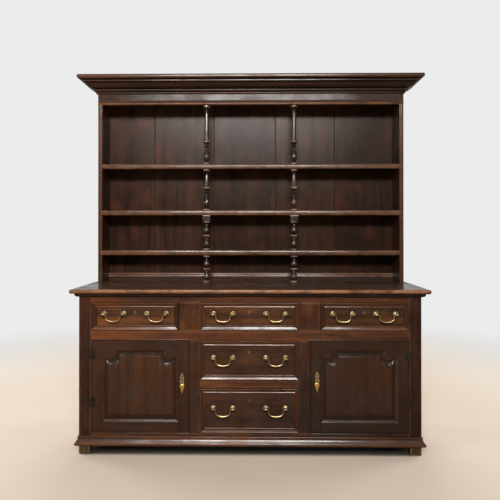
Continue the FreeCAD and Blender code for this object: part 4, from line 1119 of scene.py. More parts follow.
def drawer_front(drawer):
    """The front board as a fine grid that carries the hand marks, and its moulding."""
    (left, front, low), (right, back, high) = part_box(drawer + "_front")
    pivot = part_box(drawer + "_left_bail")[1][Z]
    heights = [low + (high - low) * row / ROWS for row in range(ROWS + 1)]
    behind = FIELD + FRONT_THICK
    loops, wear = [], []
    for column in range(COLUMNS + 1):
        x = left + (right - left) * column / COLUMNS
        loops.append([(x, FIELD, z) for z in heights] + [(x, behind, high), (x, behind, low)])
        wear.append([hand_marks(drawer, x, z, (left + right) / 2, low, pivot) for z in heights] + [0.0, 0.0])
    stock = Stock()
    stock.skin(loops, wear, X, DRAWERS[drawer]["tone"])
    # its upright lengths get painted shade
    four_sides(stock, drawer_moulding, left, right, low, high, FIELD - JUST_PROUD, painted_side_shade=0.5)
    keep(stock, drawer + "_moulded_front", drawer, "drawer_oak", drawer + "_front")


def drawer_box(drawer):
    """Two sides, a back, and a bottom of three boards."""
    (left, front, low), (right, back, high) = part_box(drawer + "_box")
    inner_left, inner_right = left + BOX_SIDE, right - BOX_SIDE
    floor_low, floor_top = low + BOTTOM_LOW, low + BOTTOM_TOP
    stock = Stock()
    stock.board((left, front, low), (inner_left, back, high), Y, None, 0.0008)
    stock.board((inner_right, front, low), (right, back, high), Y, None, 0.0008)
    stock.board((inner_left, back - BOX_SIDE, floor_top), (inner_right, back, high), X, None, 0.0008)
    wide = (right - left - 2 * BOX_SIDE) / BOTTOM_BOARDS
    for number in range(BOTTOM_BOARDS):
        x = inner_left + wide * number
        stock.board((x, front, floor_low), (x + wide, back, floor_top), Y, None, 0.0004)
    keep(stock, drawer + "_oak_box", drawer, "lining_oak", drawer + "_box")


for drawer in DRAWERS:
    drawer_front(drawer)
    drawer_box(drawer)

# %% [markdown]
# Inside the base the drawers run on oak runners between guides, and the cupboards have a boarded floor.
# None of it was polished. The floor is one slab, notched round the four posts.

# %% runners and cupboard floor
POST_IN, POST_BACK, REAR_POST = 0.813, -0.172, 0.193
RUN_FRONT, RUNNER_WIDE, RUNNER_HIGH, GUIDE_HIGH, GUIDE_WIDE = -0.187, 0.030, 0.025, 0.020, 0.015
CENTRE_HALF, MUNTIN_OUT, PARTITION = 0.253, 0.362, 0.2725
TOP_RUN, CENTRE_RUN, BOTTOM_RUN = 0.635, 0.382, 0.111


def runner(stock, near, far, low, high, front=RUN_FRONT, back=FRAME_BACK):
    """A runner or guide on the right, and its mirror on the left."""
    for side in (1, -1):
        left, right = mirrored(side, near, far)
        stock.board((left, front, low), (right, back, high), Y, None, 0.0008)


stock = Stock()
under = TOP_RUN - RUNNER_HIGH
runner(stock, POST_IN - RUNNER_WIDE, POST_IN, under, TOP_RUN)
runner(stock, POST_IN, POST_IN + GUIDE_WIDE, under, TOP_RUN + GUIDE_HIGH, POST_BACK, REAR_POST)
runner(stock, CENTRE_HALF - RUNNER_WIDE, MUNTIN_OUT + RUNNER_WIDE, under, TOP_RUN)
runner(stock, CENTRE_HALF, MUNTIN_OUT, TOP_RUN, TOP_RUN + GUIDE_HIGH)
runner(stock, CENTRE_HALF - RUNNER_WIDE, PARTITION, CENTRE_RUN - RUNNER_HIGH, CENTRE_RUN)
runner(stock, CENTRE_HALF, PARTITION, CENTRE_RUN, CENTRE_RUN + GUIDE_HIGH)
runner(stock, CENTRE_HALF, PARTITION, BOTTOM_RUN, BOTTOM_RUN + GUIDE_HIGH)
keep(stock, "drawer_runner_boards", "carcass", "lining_oak", "drawer_runners")

stock = Stock()
(left, front, low), (right, back, high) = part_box("cupboard_floor")
notched = [
    (-POST_IN, front), (POST_IN, front), (POST_IN, POST_BACK), (right, POST_BACK), (right, REAR_POST),
    (POST_IN, REAR_POST), (POST_IN, back), (-POST_IN, back), (-POST_IN, REAR_POST), (left, REAR_POST),
    (left, POST_BACK), (-POST_IN, POST_BACK)]
slab(stock, notched, Z, low, high, X, 0.5)
keep(stock, "cupboard_floor_boards", "carcass", "lining_oak", "cupboard_floor")

# %% [markdown]
# The doors are the joiner's show piece. The top rail dips in two round lobes, and all that follows this
# line has to agree with it. One function therefore gives the outline at any distance from the sight line,
# which is the edge of what we see of the panel. The left door is a mirror of the right one.

# %% sight line of the doors
DOOR_LEFT, DOOR_RIGHT = 0.312, 0.811
SIGHT, SIGHT_LOW, CROWN, EDGE = 0.182, 0.178, 0.525, 0.0142
LOBE_START, LOBE_STEP, LOBE_END, LOBE_TURN = 0.118, 0.016, 0.036, 0.55
middle = (DOOR_LEFT + DOOR_RIGHT) / 2


def sight_line(aside, up):
    """The shaped opening of a door, moved out sideways and up and down; anticlockwise from its lower left."""
    side, lobe = SIGHT + aside, LOBE_START + aside
    shoulder, step, crown = CROWN - LOBE_END + up, CROWN - LOBE_STEP + up, CROWN + up
    points = [(-side, SIGHT_LOW - up), (side, SIGHT_LOW - up), (side, shoulder)]
    points += arc((side, shoulder), (lobe, step), -LOBE_TURN, 12)
    points += [(lobe, crown), (-lobe, crown), (-lobe, step)]
    points += arc((-lobe, step), (-side, shoulder), -LOBE_TURN, 12)
    return points


def ring_of(outline, y, side):
    """An outline of a door as a loop in space, mirrored for the left door."""
    return [(side * (middle + x), y, z) for x, z in outline]


print("the sight line has", len(sight_line(0, 0)), "points")

# %% [markdown]
# A door has two stiles, a straight bottom rail and the shaped top rail. A bevelled edge follows the sight
# line all the way round, and the panel behind it is raised to a flat field with the same shape.

# %% doors
DOOR_LOW, DOOR_HIGH, DOOR_FACE, DOOR_BACK = 0.113, 0.581, -0.217, -0.193
SIDES = ((1, "right_door"), (-1, "left_door"))


def door_frame(side):
    """Stiles, rails and the bevelled edge round the panel."""
    stock = Stock()
    reach = SIGHT + EDGE
    # the edges of stiles and rails are darkened: painted shade in the gaps round the door, with dirt
    dirt_and_shade_edges = {"margin": 0.006, "rubbed": -0.8}
    for near, far in ((DOOR_LEFT, middle - reach), (middle + reach, DOOR_RIGHT)):
        left, right = mirrored(side, near, far)
        foot, head = (left, DOOR_FACE, DOOR_LOW), (right, DOOR_BACK, DOOR_HIGH)
        stock.board(foot, head, Z, tone=dice.uniform(0, 0.25), ease=0.0016, **dirt_and_shade_edges)
    left, right = mirrored(side, middle - reach, middle + reach)
    foot, head = (left, DOOR_FACE, DOOR_LOW), (right, DOOR_BACK, SIGHT_LOW - EDGE)
    stock.board(foot, head, X, tone=0.2, ease=0.0008, **dirt_and_shade_edges)
    shaped = sight_line(EDGE, EDGE)[2:]
    rail = [(reach, DOOR_HIGH), (-reach, DOOR_HIGH)] + shaped[::-1]
    rail = [(side * (middle + x), z) for x, z in rail]
    rail = rail if side > 0 else rail[::-1]
    slab(stock, rail, Y, DOOR_FACE, DOOR_BACK, X, tone=0.1, ease=0.0006, margin=0.003)
    start, end = (EDGE - 0.0012, DOOR_FACE + 0.0003), (0.0006, DOOR_FACE + 0.0085)
    steps = [(EDGE, DOOR_BACK, 0), (EDGE, DOOR_FACE, 0.4), (*start, 0.6)]
    steps += [(out, y, 0.6) for out, y in arc(start, end, -0.03, 6)]
    # the inner end of the bevelled edge is darkened: painted shade under the edge of the frame
    steps += [(0, DOOR_FACE + 0.0090, -0.6), (0, DOOR_BACK, -1), (EDGE, DOOR_BACK, 0)]
    loops = [ring_of(sight_line(out, out), y, side) for out, y, worn in steps]
    stock.skin(loops, wear_of(steps), X, dice.random(), capped=False)
    return stock


def door_panel(side):
    """The raised panel: flat field, small step, wide bevel and tongue; steps are (aside, up, y, wear)."""
    stock = Stock()
    field, tongue = DOOR_FACE + 0.0035, DOOR_FACE + 0.012
    # the step and the bevel have wear below zero: painted shade behind the frame, with dirt
    steps = [
        # flat field
        (-0.030, -0.040, field, 0), (-0.0152, -0.0252, field, 0),
        # small step
        (-0.0140, -0.0240, field + 0.0003, -0.25), (-0.0130, -0.0230, field + 0.0009, -0.3),
        (-0.012, -0.022, field + 0.0022, -0.5),
        # wide bevel
        (-0.006, -0.011, field + 0.0052, -0.6), (0.0, 0.0, tongue - 0.0001, -1),
        # tongue behind the edge
        (0.006, 0.006, tongue, 0), (0.006, 0.006, tongue + 0.006, 0),
    ]
    loops = [ring_of(sight_line(aside, up), y, side) for aside, up, y, worn in steps]
    stock.skin(loops, wear_of(steps), Z, dice.uniform(0.6, 0.9))
    return stock


for side, name in SIDES:
    keep(door_frame(side), name + "_joined_frame", name, "door_oak", name + "_frame")
    keep(door_panel(side), name + "_raised_panel", name, "door_oak", name + "_panel")

# %% [markdown]
# Each end of the base has two raised panels, seen from the sides. They are plain rectangles, so their loops
# come straight from the frame's boxes: field, small step, bevel and tongue. A thin half-round bead runs
# round each door opening and catches the light as a fine line.

# %% end panels and opening beads
BEAD_WIDE = 0.008
OPENING_IN, OPENING_OUT, OPENING_LOW, OPENING_HIGH = 0.310, 0.813, 0.111, 0.583
stock = Stock()
for low, high in solids_of("end_panels"):
    side = 1 if high[X] > 0 else -1
    face = high[X] if side > 0 else low[X]
    steps = [
        # field and its small step
        (0.060, 0, 0), (0.0410, 0, 0.3), (0.0397, 0.0005, 0.9), (0.0395, 0.0015, 0.1),
        # bevel, tongue and back
        (0.0075, 0.0085, 0), (0, 0.0085, 0), (0, high[X] - low[X], 0),
    ]
    loops = []
    for inset, depth, worn in steps:
        outline = rounded_corners(low[Y], high[Y], low[Z], high[Z], inset, 0.0002)
        loops.append([(face - side * depth, y, z) for y, z in outline])
    stock.skin(loops, wear_of(steps), Z, dice.random())
keep(stock, "end_raised_panels", "carcass", "frame_oak", "end_panels")

# the edges of the bead are darkened: painted shade in the gaps beside it, with dirt
bead = section((0, 0, -0.8), (0, 0.0006, -0.4), (BEAD_WIDE, 0.0006, 0.2, -0.55), (BEAD_WIDE, 0, -0.8))
turns = [(OPENING_OUT, OPENING_LOW, 0, -1), (OPENING_IN, OPENING_LOW, -1, -1),
         (OPENING_IN, OPENING_HIGH, -1, 1), (OPENING_OUT, OPENING_HIGH, 0, 1)]
stock = Stock()
for side in (-1, 1):
    for way, *ends in zip((X, Z, X), turns, turns[1:]):
        loops = []
        for x, z, a, b in ends:
            loop = [(side * (x + a * out), FRAME_FACE - proud, z + b * out) for out, proud, worn in bead]
            loops.append(loop)
        stock.skin(loops, wear_of(bead), way, 0.2)
keep(stock, "opening_bead_lengths", "carcass", "frame_oak", "door_beads")

# %% [markdown]
# The handles are cast brass, gone dull gold in two hundred years of hands: dark in the hollows, bright on
# the high places. The pierced plates are a little paler, and the drops on them are gilt. Hinges and locks
# are wrought iron, nearly black, with a low hammered relief. All are metals in Blender terms, so the base
# colour is the colour of their reflection. One group serves them with different inputs.

# %% metal finishes
def metal_group():
    """Aged metal: tarnish in clouds and in the hollows, bare metal where hands rub."""
    group = bpy.data.node_groups.new("aged_metal", "ShaderNodeTree")
    sockets(group, "INPUT", Color=["Bare", "Tarnish"], Float=["Wear", "Rough", "Size"])
    sockets(group, "OUTPUT", Color=["Color"], Float=["Roughness", "Height"])
    given = add(group, "NodeGroupInput").outputs
    place = add(group, "ShaderNodeTexCoord").outputs["Object"]
    inputs = {"Vector": place, "Scale": given["Size"], "Detail": 5.0}
    clouds = add(group, "ShaderNodeTexNoise", inputs).outputs["Fac"]
    inputs = {"Vector": place, "Scale": 1100.0, "Detail": 3.0}
    specks = add(group, "ShaderNodeTexNoise", inputs).outputs["Fac"]
    bare = times(group, attribute(group, "wear"), given["Wear"])
    bare = plus(group, bare, ramp(group, clouds, 0.38, 0.68, -0.25, 0.45), clamp=True)
    bare = calc(group, "SUBTRACT", bare, ramp(group, specks, 0.58, 0.75, 0.0, 0.5), clamp=True)
    colour = mix(group, bare, given["Tarnish"], given["Bare"])
    rough = plus(group, given["Rough"], ramp(group, bare, 0.0, 1.0, 0.22, -0.08), clamp=True)
    height = plus(group, clouds, times(group, specks, 0.25))
    add(group, "NodeGroupOutput", {"Color": colour, "Roughness": rough, "Height": height})
    return group


aged_metal = metal_group()


def metal(finish, name, bare, tarnish, wear, rough, size, bump):
    """One metal finish."""
    values = {"Bare": (*bare, 1), "Tarnish": (*tarnish, 1), "Wear": wear, "Rough": rough, "Size": size}
    finishes[finish] = surface(name, aged_metal, values, bump, 0.3)
    finishes[finish].node_tree.nodes["Principled BSDF"].inputs["Metallic"].default_value = 1.0


metal("brass", "aged_brass", bare=(0.48, 0.36, 0.18), tarnish=(0.12, 0.078, 0.032), wear=0.7, rough=0.38,
      size=120.0, bump=0.0002)
metal("plate", "plate_brass", bare=(0.66, 0.50, 0.24), tarnish=(0.20, 0.13, 0.05), wear=0.8, rough=0.40,
      size=140.0, bump=0.0001)
metal("gilt", "gilt_brass", bare=(0.86, 0.52, 0.13), tarnish=(0.40, 0.22, 0.06), wear=0.8, rough=0.40,
      size=140.0, bump=0.0001)
metal("iron", "wrought_iron", bare=(0.15, 0.108, 0.076), tarnish=(0.022, 0.014, 0.009), wear=0.35, rough=0.48,
      size=160.0, bump=0.0004)
print("all finishes:", ", ".join(finishes))

# %% [markdown]
# Every handle hangs between two posts that are bolted through the drawer front. A post is a turned piece: a
# rosette with rings, a thin stem and a round head that holds the end of the bail. We spin its outline round
# a line that points at the viewer, as the lathe did.

# %% posts of the handles
# radius, distance out and wear of the cuts of a post
ROSETTE = [(0.0144, 0.0, 0.0), (0.0150, 0.0008, 0.5), (0.0148, 0.0020, 0.9), (0.0136, 0.0030, 1.0),
           (0.0122, 0.0026, 0.1), (0.0114, 0.0036, 0.6), (0.0098, 0.0052, 0.9), (0.0072, 0.0064, 0.5)]
STEM = [(0.0054, 0.0076, 0.1), (0.0046, 0.0100, 0.1), (0.0046, 0.0130, 0.2), (0.0056, 0.0155, 0.4)]
HEAD = [(0.0070, 0.0183, 0.8), (0.0077, 0.0220, 1.0), (0.0071, 0.0252, 1.0), (0.0052, 0.0278, 1.0),
        (0.0024, 0.0291, 1.0), (0.0004, 0.0294, 1.0)]


def spin_out(stock, cuts, x, y, z, steps=24):
    """Spins an outline of (radius, distance out, wear) round a line that points at the viewer."""
    loops = []
    for radius, out, worn in cuts:
        loops.append([(x + radius * math.cos(a), y - out, z + radius * math.sin(a)) for a in spokes(steps)])
    stock.skin(loops, wear_of(cuts), X, dice.random())


print("a post takes", len(ROSETTE + STEM + HEAD), "cuts")

# %% [markdown]
# The bail is bent from a rod that is thicker in the middle of the grip, with a small knob at each end. It
# is made by carrying a ring along a smooth line and changing its radius. Only one half is written down, and
# the other is its mirror image.

# %% bails and handles
PIVOT_OUT, BAIL_FLAT, BAIL_SPOKES = 0.022, 0.00231, 14
# distance aside, height and radius along one half of a bail
KNOB = [(0.0622, 0.0, 0.0008), (0.0612, 0.0, 0.0030), (0.0590, 0.0, 0.0040), (0.0566, 0.0, 0.0030)]
PIN = [(0.0490, 0.0, 0.0041), (0.0432, -0.0004, 0.0040)]
SWAN_NECK = [(0.0390, -0.0030, 0.0032), (0.0368, -0.0095, 0.0029), (0.0360, -0.0175, 0.0030)]
GRIP = [(0.0332, -0.0252, 0.0032), (0.0258, -0.0314, 0.0037), (0.0130, -0.0355, 0.0045),
        (0.0, -0.0368, 0.0049)]


def smooth_line(points, pieces=4):
    """More points on a smooth curve through the given ones; the numbers of a point can mean anything."""
    ends = [points[0]] + list(points) + [points[-1]]
    made = []
    for number in range(1, len(ends) - 2):
        for step in range(pieces):
            t = step / pieces
            line = []
            for a, b, c, d in zip(*ends[number - 1:number + 3]):
                line.append(0.5 * (2 * b + (c - a) * t + (2 * a - 5 * b + 4 * c - d) * t ** 2
                                   + (3 * b - a - 3 * c + d) * t ** 3))
            made.append(tuple(line))
    return made + [tuple(points[-1])]


def bail(stock, x, y, z):
    """A swan-neck bail hanging from its two posts."""
    right = smooth_line(KNOB + PIN + SWAN_NECK + GRIP)
    line = right + [(-aside, down, radius) for aside, down, radius in reversed(right[:-1])]
    loops = []
    for number, (aside, down, radius) in enumerate(line):
        before, after = line[max(number - 1, 0)], line[min(number + 1, len(line) - 1)]
        slope = math.atan2(after[1] - before[1], after[0] - before[0])
        loop = []
        for angle in spokes(BAIL_SPOKES):
            off = radius * math.cos(angle)
            across, up = x + aside - off * math.sin(slope), z + down + off * math.cos(slope)
            loop.append((across, y + radius * math.sin(angle), up))
        loops.append(loop)
    rubbed = [min(1.0, 0.35 + 25 * max(0.0, -down)) for aside, down, radius in line]
    stock.skin(loops, rubbed, X, dice.random())


for drawer in DRAWERS:
    posts = Stock()
    for side in ("left", "right"):
        name = "%s_%s_bail" % (drawer, side)
        low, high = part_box(name)
        x = (low[X] + high[X]) / 2
        z = high[Z] - BAIL_FLAT
        for reach in (-POST_REACH, POST_REACH):
            spin_out(posts, ROSETTE + STEM + HEAD, x + reach, FIELD, z)
        stock = Stock()
        bail(stock, x, FIELD - PIVOT_OUT, z)
        keep(stock, name + "_rod", name, "brass", name, crease=60)
    keep(posts, drawer + "_turned_posts", drawer, "brass", drawer + "_handle_posts", crease=60)

# %% [markdown]
# The doors hang on small iron hinges. Each has one leaf on the door and one on the post, knuckles that take
# turns along the pin, and a ball on top of the pin. A leaf is a thin eased plate, a knuckle is turned, and
# a short tongue joins the two, as where the plate is rolled round the pin.

# %% hinges
HINGE_X, HINGE_Y, LEAF_WIDE, LEAF_THICK, BARREL = 0.812, -0.222, 0.016, 0.002, 0.0045
HINGE_FEET, HINGE_HIGH, LEAF_GAP, KNUCKLE_GAP = (0.241, 0.487), 0.050, 0.0049, 0.0004
KNUCKLE, HINGE_SPOKES, HINGE_TONE = HINGE_HIGH / 3, 20, 0.5
# radius, height and wear of the ball on its small neck
BALL = [(0.0030, 0.0, 0.2), (0.0026, 0.0008, 0.1), (0.0033, 0.0018, 0.7), (0.0040, 0.0040, 1.0),
        (0.0036, 0.0062, 1.0), (0.0022, 0.0080, 1.0), (0.0004, 0.0089, 1.0)]


def knuckle(stock, x, low, high):
    """One rolled knuckle round the pin, with eased ends."""
    ease, tall = 0.0005, high - low
    inner = BARREL - ease
    cuts = [(inner, 0, 0.3), (BARREL, ease, 0.9), (BARREL, tall - ease, 0.9), (inner, tall, 0.3)]
    turn(stock, cuts, x, HINGE_Y, low, HINGE_TONE, HINGE_SPOKES)


def leaf(stock, side, way, foot, thirds):
    """One leaf, outwards or inwards of the pin, with the knuckles at the given thirds of its height."""
    start = HINGE_X + way * LEAF_GAP
    left, right = mirrored(side, start, start + way * LEAF_WIDE)
    plate_low, plate_high = (left, FRAME_FACE - LEAF_THICK, foot), (right, FRAME_FACE, foot + HINGE_HIGH)
    stock.board(plate_low, plate_high, Z, HINGE_TONE, ease=0.0005, margin=0.002)
    left, right = mirrored(side, start, HINGE_X + way * BARREL * 0.6)
    for third in thirds:
        low = foot + third * KNUCKLE + (KNUCKLE_GAP if third else 0)
        high = foot + (third + 1) * KNUCKLE - (KNUCKLE_GAP if third < 2 else 0)
        knuckle(stock, side * HINGE_X, low, high)
        tongue_low, tongue_high = (left, HINGE_Y + 0.001, low), (right, FRAME_FACE - 0.0003, high)
        stock.board(tongue_low, tongue_high, Z, HINGE_TONE, ease=0.0003, margin=0.001)


stock = Stock()
for side, name in SIDES:
    for foot in HINGE_FEET:
        leaf(stock, side, 1, foot, (0, 2))
        turn(stock, BALL, side * HINGE_X, HINGE_Y, foot + HINGE_HIGH, HINGE_TONE, HINGE_SPOKES)
keep(stock, "iron_post_leaves", "carcass", "iron", "hinge_post_leaves")
for side, name in SIDES:
    stock = Stock()
    for foot in HINGE_FEET:
        leaf(stock, side, -1, foot, (1,))
    keep(stock, name + "_iron_leaves", name, "iron", name + "_hinge_leaves")

# %% [markdown]
# Iron nails with flattened heads hold the hinges and screws hold the locks. The same small head comes back
# many times, so Geometry Nodes sets one on every point of a list, turned and sized a little differently
# each time. The seed is fixed, so the scene is the same on every run.

# %% nail heads
NAIL = {"Head Radius": 0.0017, "Flatness": 0.45, "Seed": 11, "Finish": finishes["iron"]}


def heads_tree():
    """A node tree that sets a flattened head on each point."""
    tree = bpy.data.node_groups.new("nail_heads", "GeometryNodeTree")
    sizes = ["Head Radius", "Flatness"]
    sockets(tree, "INPUT", Geometry=["Points"], Float=sizes, Int=["Seed"], Material=["Finish"])
    sockets(tree, "OUTPUT", Geometry=["Heads"])
    given = add(tree, "NodeGroupInput").outputs
    inputs = {"Segments": 14, "Rings": 8, "Radius": given["Head Radius"]}
    round_head = add(tree, "GeometryNodeMeshUVSphere", inputs).outputs["Mesh"]
    flat = add(tree, "ShaderNodeCombineXYZ", {"X": 1.0, "Y": given["Flatness"], "Z": 1.0}).outputs[0]
    shaped = add(tree, "GeometryNodeTransform", {"Geometry": round_head, "Scale": flat}).outputs[0]
    inputs = {0: (-0.12, -3.1, -0.12), 1: (0.12, 3.1, 0.12), "Seed": given["Seed"]}
    tilt = add(tree, "FunctionNodeRandomValue", inputs, data_type="FLOAT_VECTOR").outputs[0]
    inputs = {2: 0.88, 3: 1.12, "Seed": given["Seed"]}
    size = add(tree, "FunctionNodeRandomValue", inputs, data_type="FLOAT").outputs[1]
    inputs = {"Points": given["Points"], "Instance": shaped, "Rotation": tilt, "Scale": size}
    placed = add(tree, "GeometryNodeInstanceOnPoints", inputs).outputs[0]
    real = add(tree, "GeometryNodeRealizeInstances", {"Geometry": placed}).outputs[0]
    inputs = {"Geometry": real, "Material": given["Finish"]}
    dressed = add(tree, "GeometryNodeSetMaterial", inputs).outputs[0]
    add(tree, "NodeGroupOutput", {"Heads": dressed})
    return tree


nail_heads = heads_tree()
print("nail heads:", len(nail_heads.nodes), "nodes")

# %% [markdown]
# A tree works through a modifier. Its inputs are set by the identifiers of their sockets, before the object
# is first evaluated. The evaluated object then gives a plain mesh, and the modifier goes. A flat curve
# becomes a mesh in the same way, without a tree.

# %% plain meshes and heads
HEAD_WEAR = 0.7


def plain_mesh(name, data, tree=None, settings=None):
    """The mesh that a curve comes out as, or points with a node tree at work on them."""
    holder = bpy.data.objects.new(name + "_holder", data)
    scene.collection.objects.link(holder)
    if tree:
        modifier = holder.modifiers.new(tree.name, "NODES")
        modifier.node_group = tree
        for item in tree.interface.items_tree:
            if item.in_out == "INPUT" and item.name in settings:
                modifier[item.identifier] = settings[item.name]
    mesh = bpy.data.meshes.new_from_object(holder.evaluated_get(bpy.context.evaluated_depsgraph_get()))
    holder.modifiers.clear()
    bpy.data.objects.remove(holder)
    mesh.name = name
    return mesh


def heads(name, body, places):
    """Iron nail or screw heads at the places, as one plain piece."""
    points = bpy.data.meshes.new(name + "_places")
    points.from_pydata(places, [], [])
    mesh = plain_mesh(name, points, nail_heads, NAIL)
    mesh.shade_smooth()
    corner_values(mesh, "wear", [HEAD_WEAR] * len(mesh.vertices))
    hang(mesh, name, body, "iron")


print("a head is", NAIL["Head Radius"], "m in radius, with a wear of", HEAD_WEAR)

# %% [markdown]
# Each leaf has three nails, set to the left and right of its middle by turns so that they don't split the
# wood. A lock is a thin plate with a case on it, at the back of its door, and four screws hold it.

# %% locks, nails and screws
PLATE_DEEP, CASE_DEEP, CASE_ASIDE, CASE_UP = 0.0025, 0.002, 0.005, 0.012
SCREW_OUT, SCREW_ASIDE, SCREW_UP = 0.0026, 0.008, 0.006
# shares of a leaf's width
NAIL_OUT, NAIL_SHIFT = 0.55, 0.18


def leaf_nails(side, way):
    """Three nails in each leaf on one side of the pin."""
    x = side * (HINGE_X + way * (LEAF_GAP + LEAF_WIDE * NAIL_OUT))
    shift = side * way * LEAF_WIDE * NAIL_SHIFT
    places = []
    for foot in HINGE_FEET:
        for move, share in ((-shift, 0.16), (shift, 0.5), (-shift, 0.84)):
            places.append((x + move, FRAME_FACE - LEAF_THICK, foot + HINGE_HIGH * share))
    return places


heads("post_hinge_nails", "carcass", leaf_nails(1, 1) + leaf_nails(-1, 1))
for side, name in SIDES:
    (left, front, low), (right, back, high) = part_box(name + "_lock")
    case_low = (left + CASE_ASIDE, front + CASE_DEEP, low + CASE_UP)
    case_high = (right - CASE_ASIDE, back, high - CASE_UP)
    stock = Stock()
    stock.board((left, front, low), (right, front + PLATE_DEEP, high), Z, tone=0.5, ease=0.0006, margin=0.003)
    stock.board(case_low, case_high, Z, tone=0.5, ease=0.001)
    keep(stock, name + "_iron_lock", name, "iron", name + "_lock")
    screws = []
    for x in (left + SCREW_ASIDE, right - SCREW_ASIDE):
        screws += [(x, front + SCREW_OUT, z) for z in (low + SCREW_UP, high - SCREW_UP)]
    heads(name + "_nails_and_screws", name, leaf_nails(side, -1) + screws)

# %% [markdown]
# The escutcheon on each door is a thin brass plate cut with a saw: a pointed drop below, the keyhole above
# its widest part, a waist, and pierced loops at the top. First come the lines that the saw follows. The
# right edge of the plate is a smooth curve through a few points, and the left edge is its mirror image.

# %% saw lines of the escutcheons
PLATE_HIGH, PLATE_HALF = 0.108, 0.013
# shares of the half width and of the height along the right edge of the plate
POINT = [(0.0, 0.0), (0.16, 0.035), (0.50, 0.15), (0.82, 0.27), (0.99, 0.37)]
WAIST = [(0.74, 0.43), (0.62, 0.47)]
LOWER_LOOP = [(0.80, 0.53), (0.84, 0.59), (0.64, 0.65), (0.56, 0.69)]
UPPER_LOOP = [(0.76, 0.74), (0.80, 0.80), (0.58, 0.87), (0.30, 0.92)]
TIP = [(0.26, 0.96), (0.0, 1.0)]


def closed_line(curve, points):
    """One closed line of a flat curve."""
    line = curve.splines.new("POLY")
    line.points.add(len(points) - 1)
    for place, (x, z) in zip(line.points, points):
        place.co = (x, z, 0, 1)
    line.use_cyclic_u = True


def keyhole(z, radius, slot_half, slot_long):
    """A keyhole: a round hole with a slot below it."""
    slot_angle = math.asin(slot_half / radius)
    start, sweep, count = slot_angle - math.pi / 2, 2 * math.pi - 2 * slot_angle, 16
    angles = [start + sweep * number / count for number in range(count + 1)]
    hole = [(radius * math.cos(angle), z + radius * math.sin(angle)) for angle in angles]
    return hole + [(-slot_half, z - slot_long), (slot_half, z - slot_long)]


plate_edge = smooth_line(POINT + WAIST + LOWER_LOOP + UPPER_LOOP + TIP, 5)
plate_edge = [(wide * PLATE_HALF, up * PLATE_HIGH) for wide, up in plate_edge]
print("the right edge of a plate has", len(plate_edge), "points")

# %% [markdown]
# Blender can fill a flat curve and leave the inner curves open, just as a saw would, and the bevel of the
# curve gives the filed edge. A domed gilt drop lies on the lower half of the plate: loops that shrink as
# they rise.

# %% escutcheons of the doors
PLATE_THICK, FILED, CORE = 0.0015, 0.00035, 0.0004
DROP_HIGH, DROP_MIDDLE, DROP_PROUD = 0.0505, 0.036, 0.0032
# height and radius of the pierced holes
PIERCED = ((0.0665, 0.0040), (0.0765, 0.0042), (0.0870, 0.0048))


def pierced_plate(name, body, node, right_edge, x, foot):
    """The flat plate of one door, with its keyhole and holes."""
    curve = bpy.data.curves.new(name, "CURVE")
    curve.dimensions, curve.fill_mode = "2D", "BOTH"
    closed_line(curve, right_edge + [(-wide, up) for wide, up in reversed(right_edge[1:-1])])
    closed_line(curve, keyhole(0.0570, radius=0.0034, slot_half=0.0017, slot_long=0.0060))
    for up, radius in PIERCED:
        closed_line(curve, [(radius * math.cos(a), up + radius * math.sin(a)) for a in spokes(20)])
    curve.extrude, curve.bevel_depth, curve.bevel_resolution, curve.offset = CORE, FILED, 2, -FILED
    mesh = plain_mesh(name, curve)
    for corner in mesh.vertices:
        aside, up, deep = corner.co
        corner.co = (x + aside, FRAME_FACE - PLATE_THICK / 2 - deep, foot + up)
    turn_outwards(mesh, merge=True)
    corner_values(mesh, "wear", [0.8] * len(mesh.vertices))
    mesh.materials.clear()
    mesh.materials.append(finishes["plate"])
    hang(mesh, name, body, "brass", node)


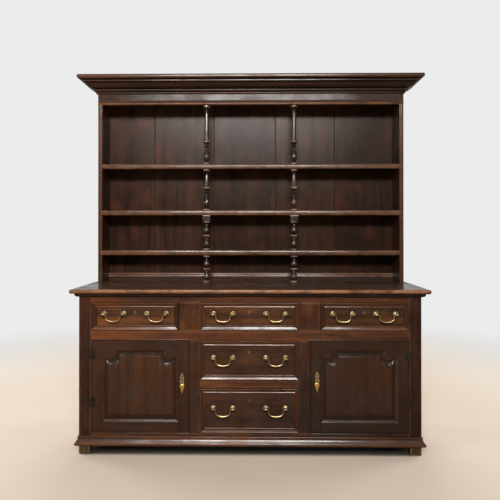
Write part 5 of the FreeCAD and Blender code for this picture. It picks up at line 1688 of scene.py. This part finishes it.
def gilt_drop(name, body, right_edge, x, foot):
    """The dome on the lower half of a plate: its outline shrinks towards a middle as it rises."""
    outline = [(wide, up) for wide, up in right_edge if up < DROP_HIGH]
    outline += [(-wide, up) for wide, up in reversed(outline[1:])]
    loops = []
    for share in (1.0, 0.95, 0.8, 0.6, 0.35, 0.1):
        y = FRAME_FACE - PLATE_THICK - DROP_PROUD * math.sqrt(1 - share ** 2)
        z = foot + DROP_MIDDLE
        loops.append([(x + wide * share, y, z + (up - DROP_MIDDLE) * share) for wide, up in outline])
    stock = Stock()
    stock.skin(loops, [0.2, 0.5, 0.8, 1.0, 1.0, 1.0], Z, 0.5)
    keep(stock, name, body, "gilt", crease=60, slot="brass")


for side, name in SIDES:
    low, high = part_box(name + "_escutcheon")
    x, foot = (low[X] + high[X]) / 2, low[Z]
    pierced_plate(name + "_pierced_plate", name, name + "_escutcheon", plate_edge, x, foot)
    gilt_drop(name + "_pierced_plate_drop", name, plate_edge, x, foot)

# %% [markdown]
# The drawers lock too: each front has a small keyhole with a thin brass lining let into the wood, and a dark
# iron disc in the hole is painted shade for its depth. A lining is four loops, up its rim and down into the
# hole.

# %% keyholes of the drawers
def lined_keyhole(drawer):
    """A keyhole in a drawer front: a thin brass lining, and a dark iron disc in the hole as painted shade."""
    (left, front, low), (right, back, high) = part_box(drawer + "_front")
    x, z = (left + right) / 2, DRAWERS[drawer]["keyhole"]
    hole = keyhole(z, radius=0.0026, slot_half=0.0012, slot_long=0.0080)
    rim = keyhole(z, radius=0.0048, slot_half=0.0032, slot_long=0.0102)
    lining, dark = Stock(), Stock()
    rise = [(rim, 0.0, 0.3), (rim, 0.0007, 0.9), (hole, 0.0009, 1.0), (hole, 0.0, 0.0)]
    loops = [[(x + aside, FIELD - out, up) for aside, up in line] for line, out, worn in rise]
    lining.skin(loops, wear_of(rise), X, 0.5, capped=False)
    # the dark disc in the hole is painted shade
    loops = [[(x + aside, FIELD - out, up) for aside, up in hole] for out in (0.0, 0.0002)]
    dark.skin(loops, [0.0, 0.0], X, 0.5)
    keep(lining, drawer + "_keyhole_lining", drawer, "brass")
    keep(dark, drawer + "_keyhole_painted_shade", drawer, "iron")


for drawer in DRAWERS:
    lined_keyhole(drawer)
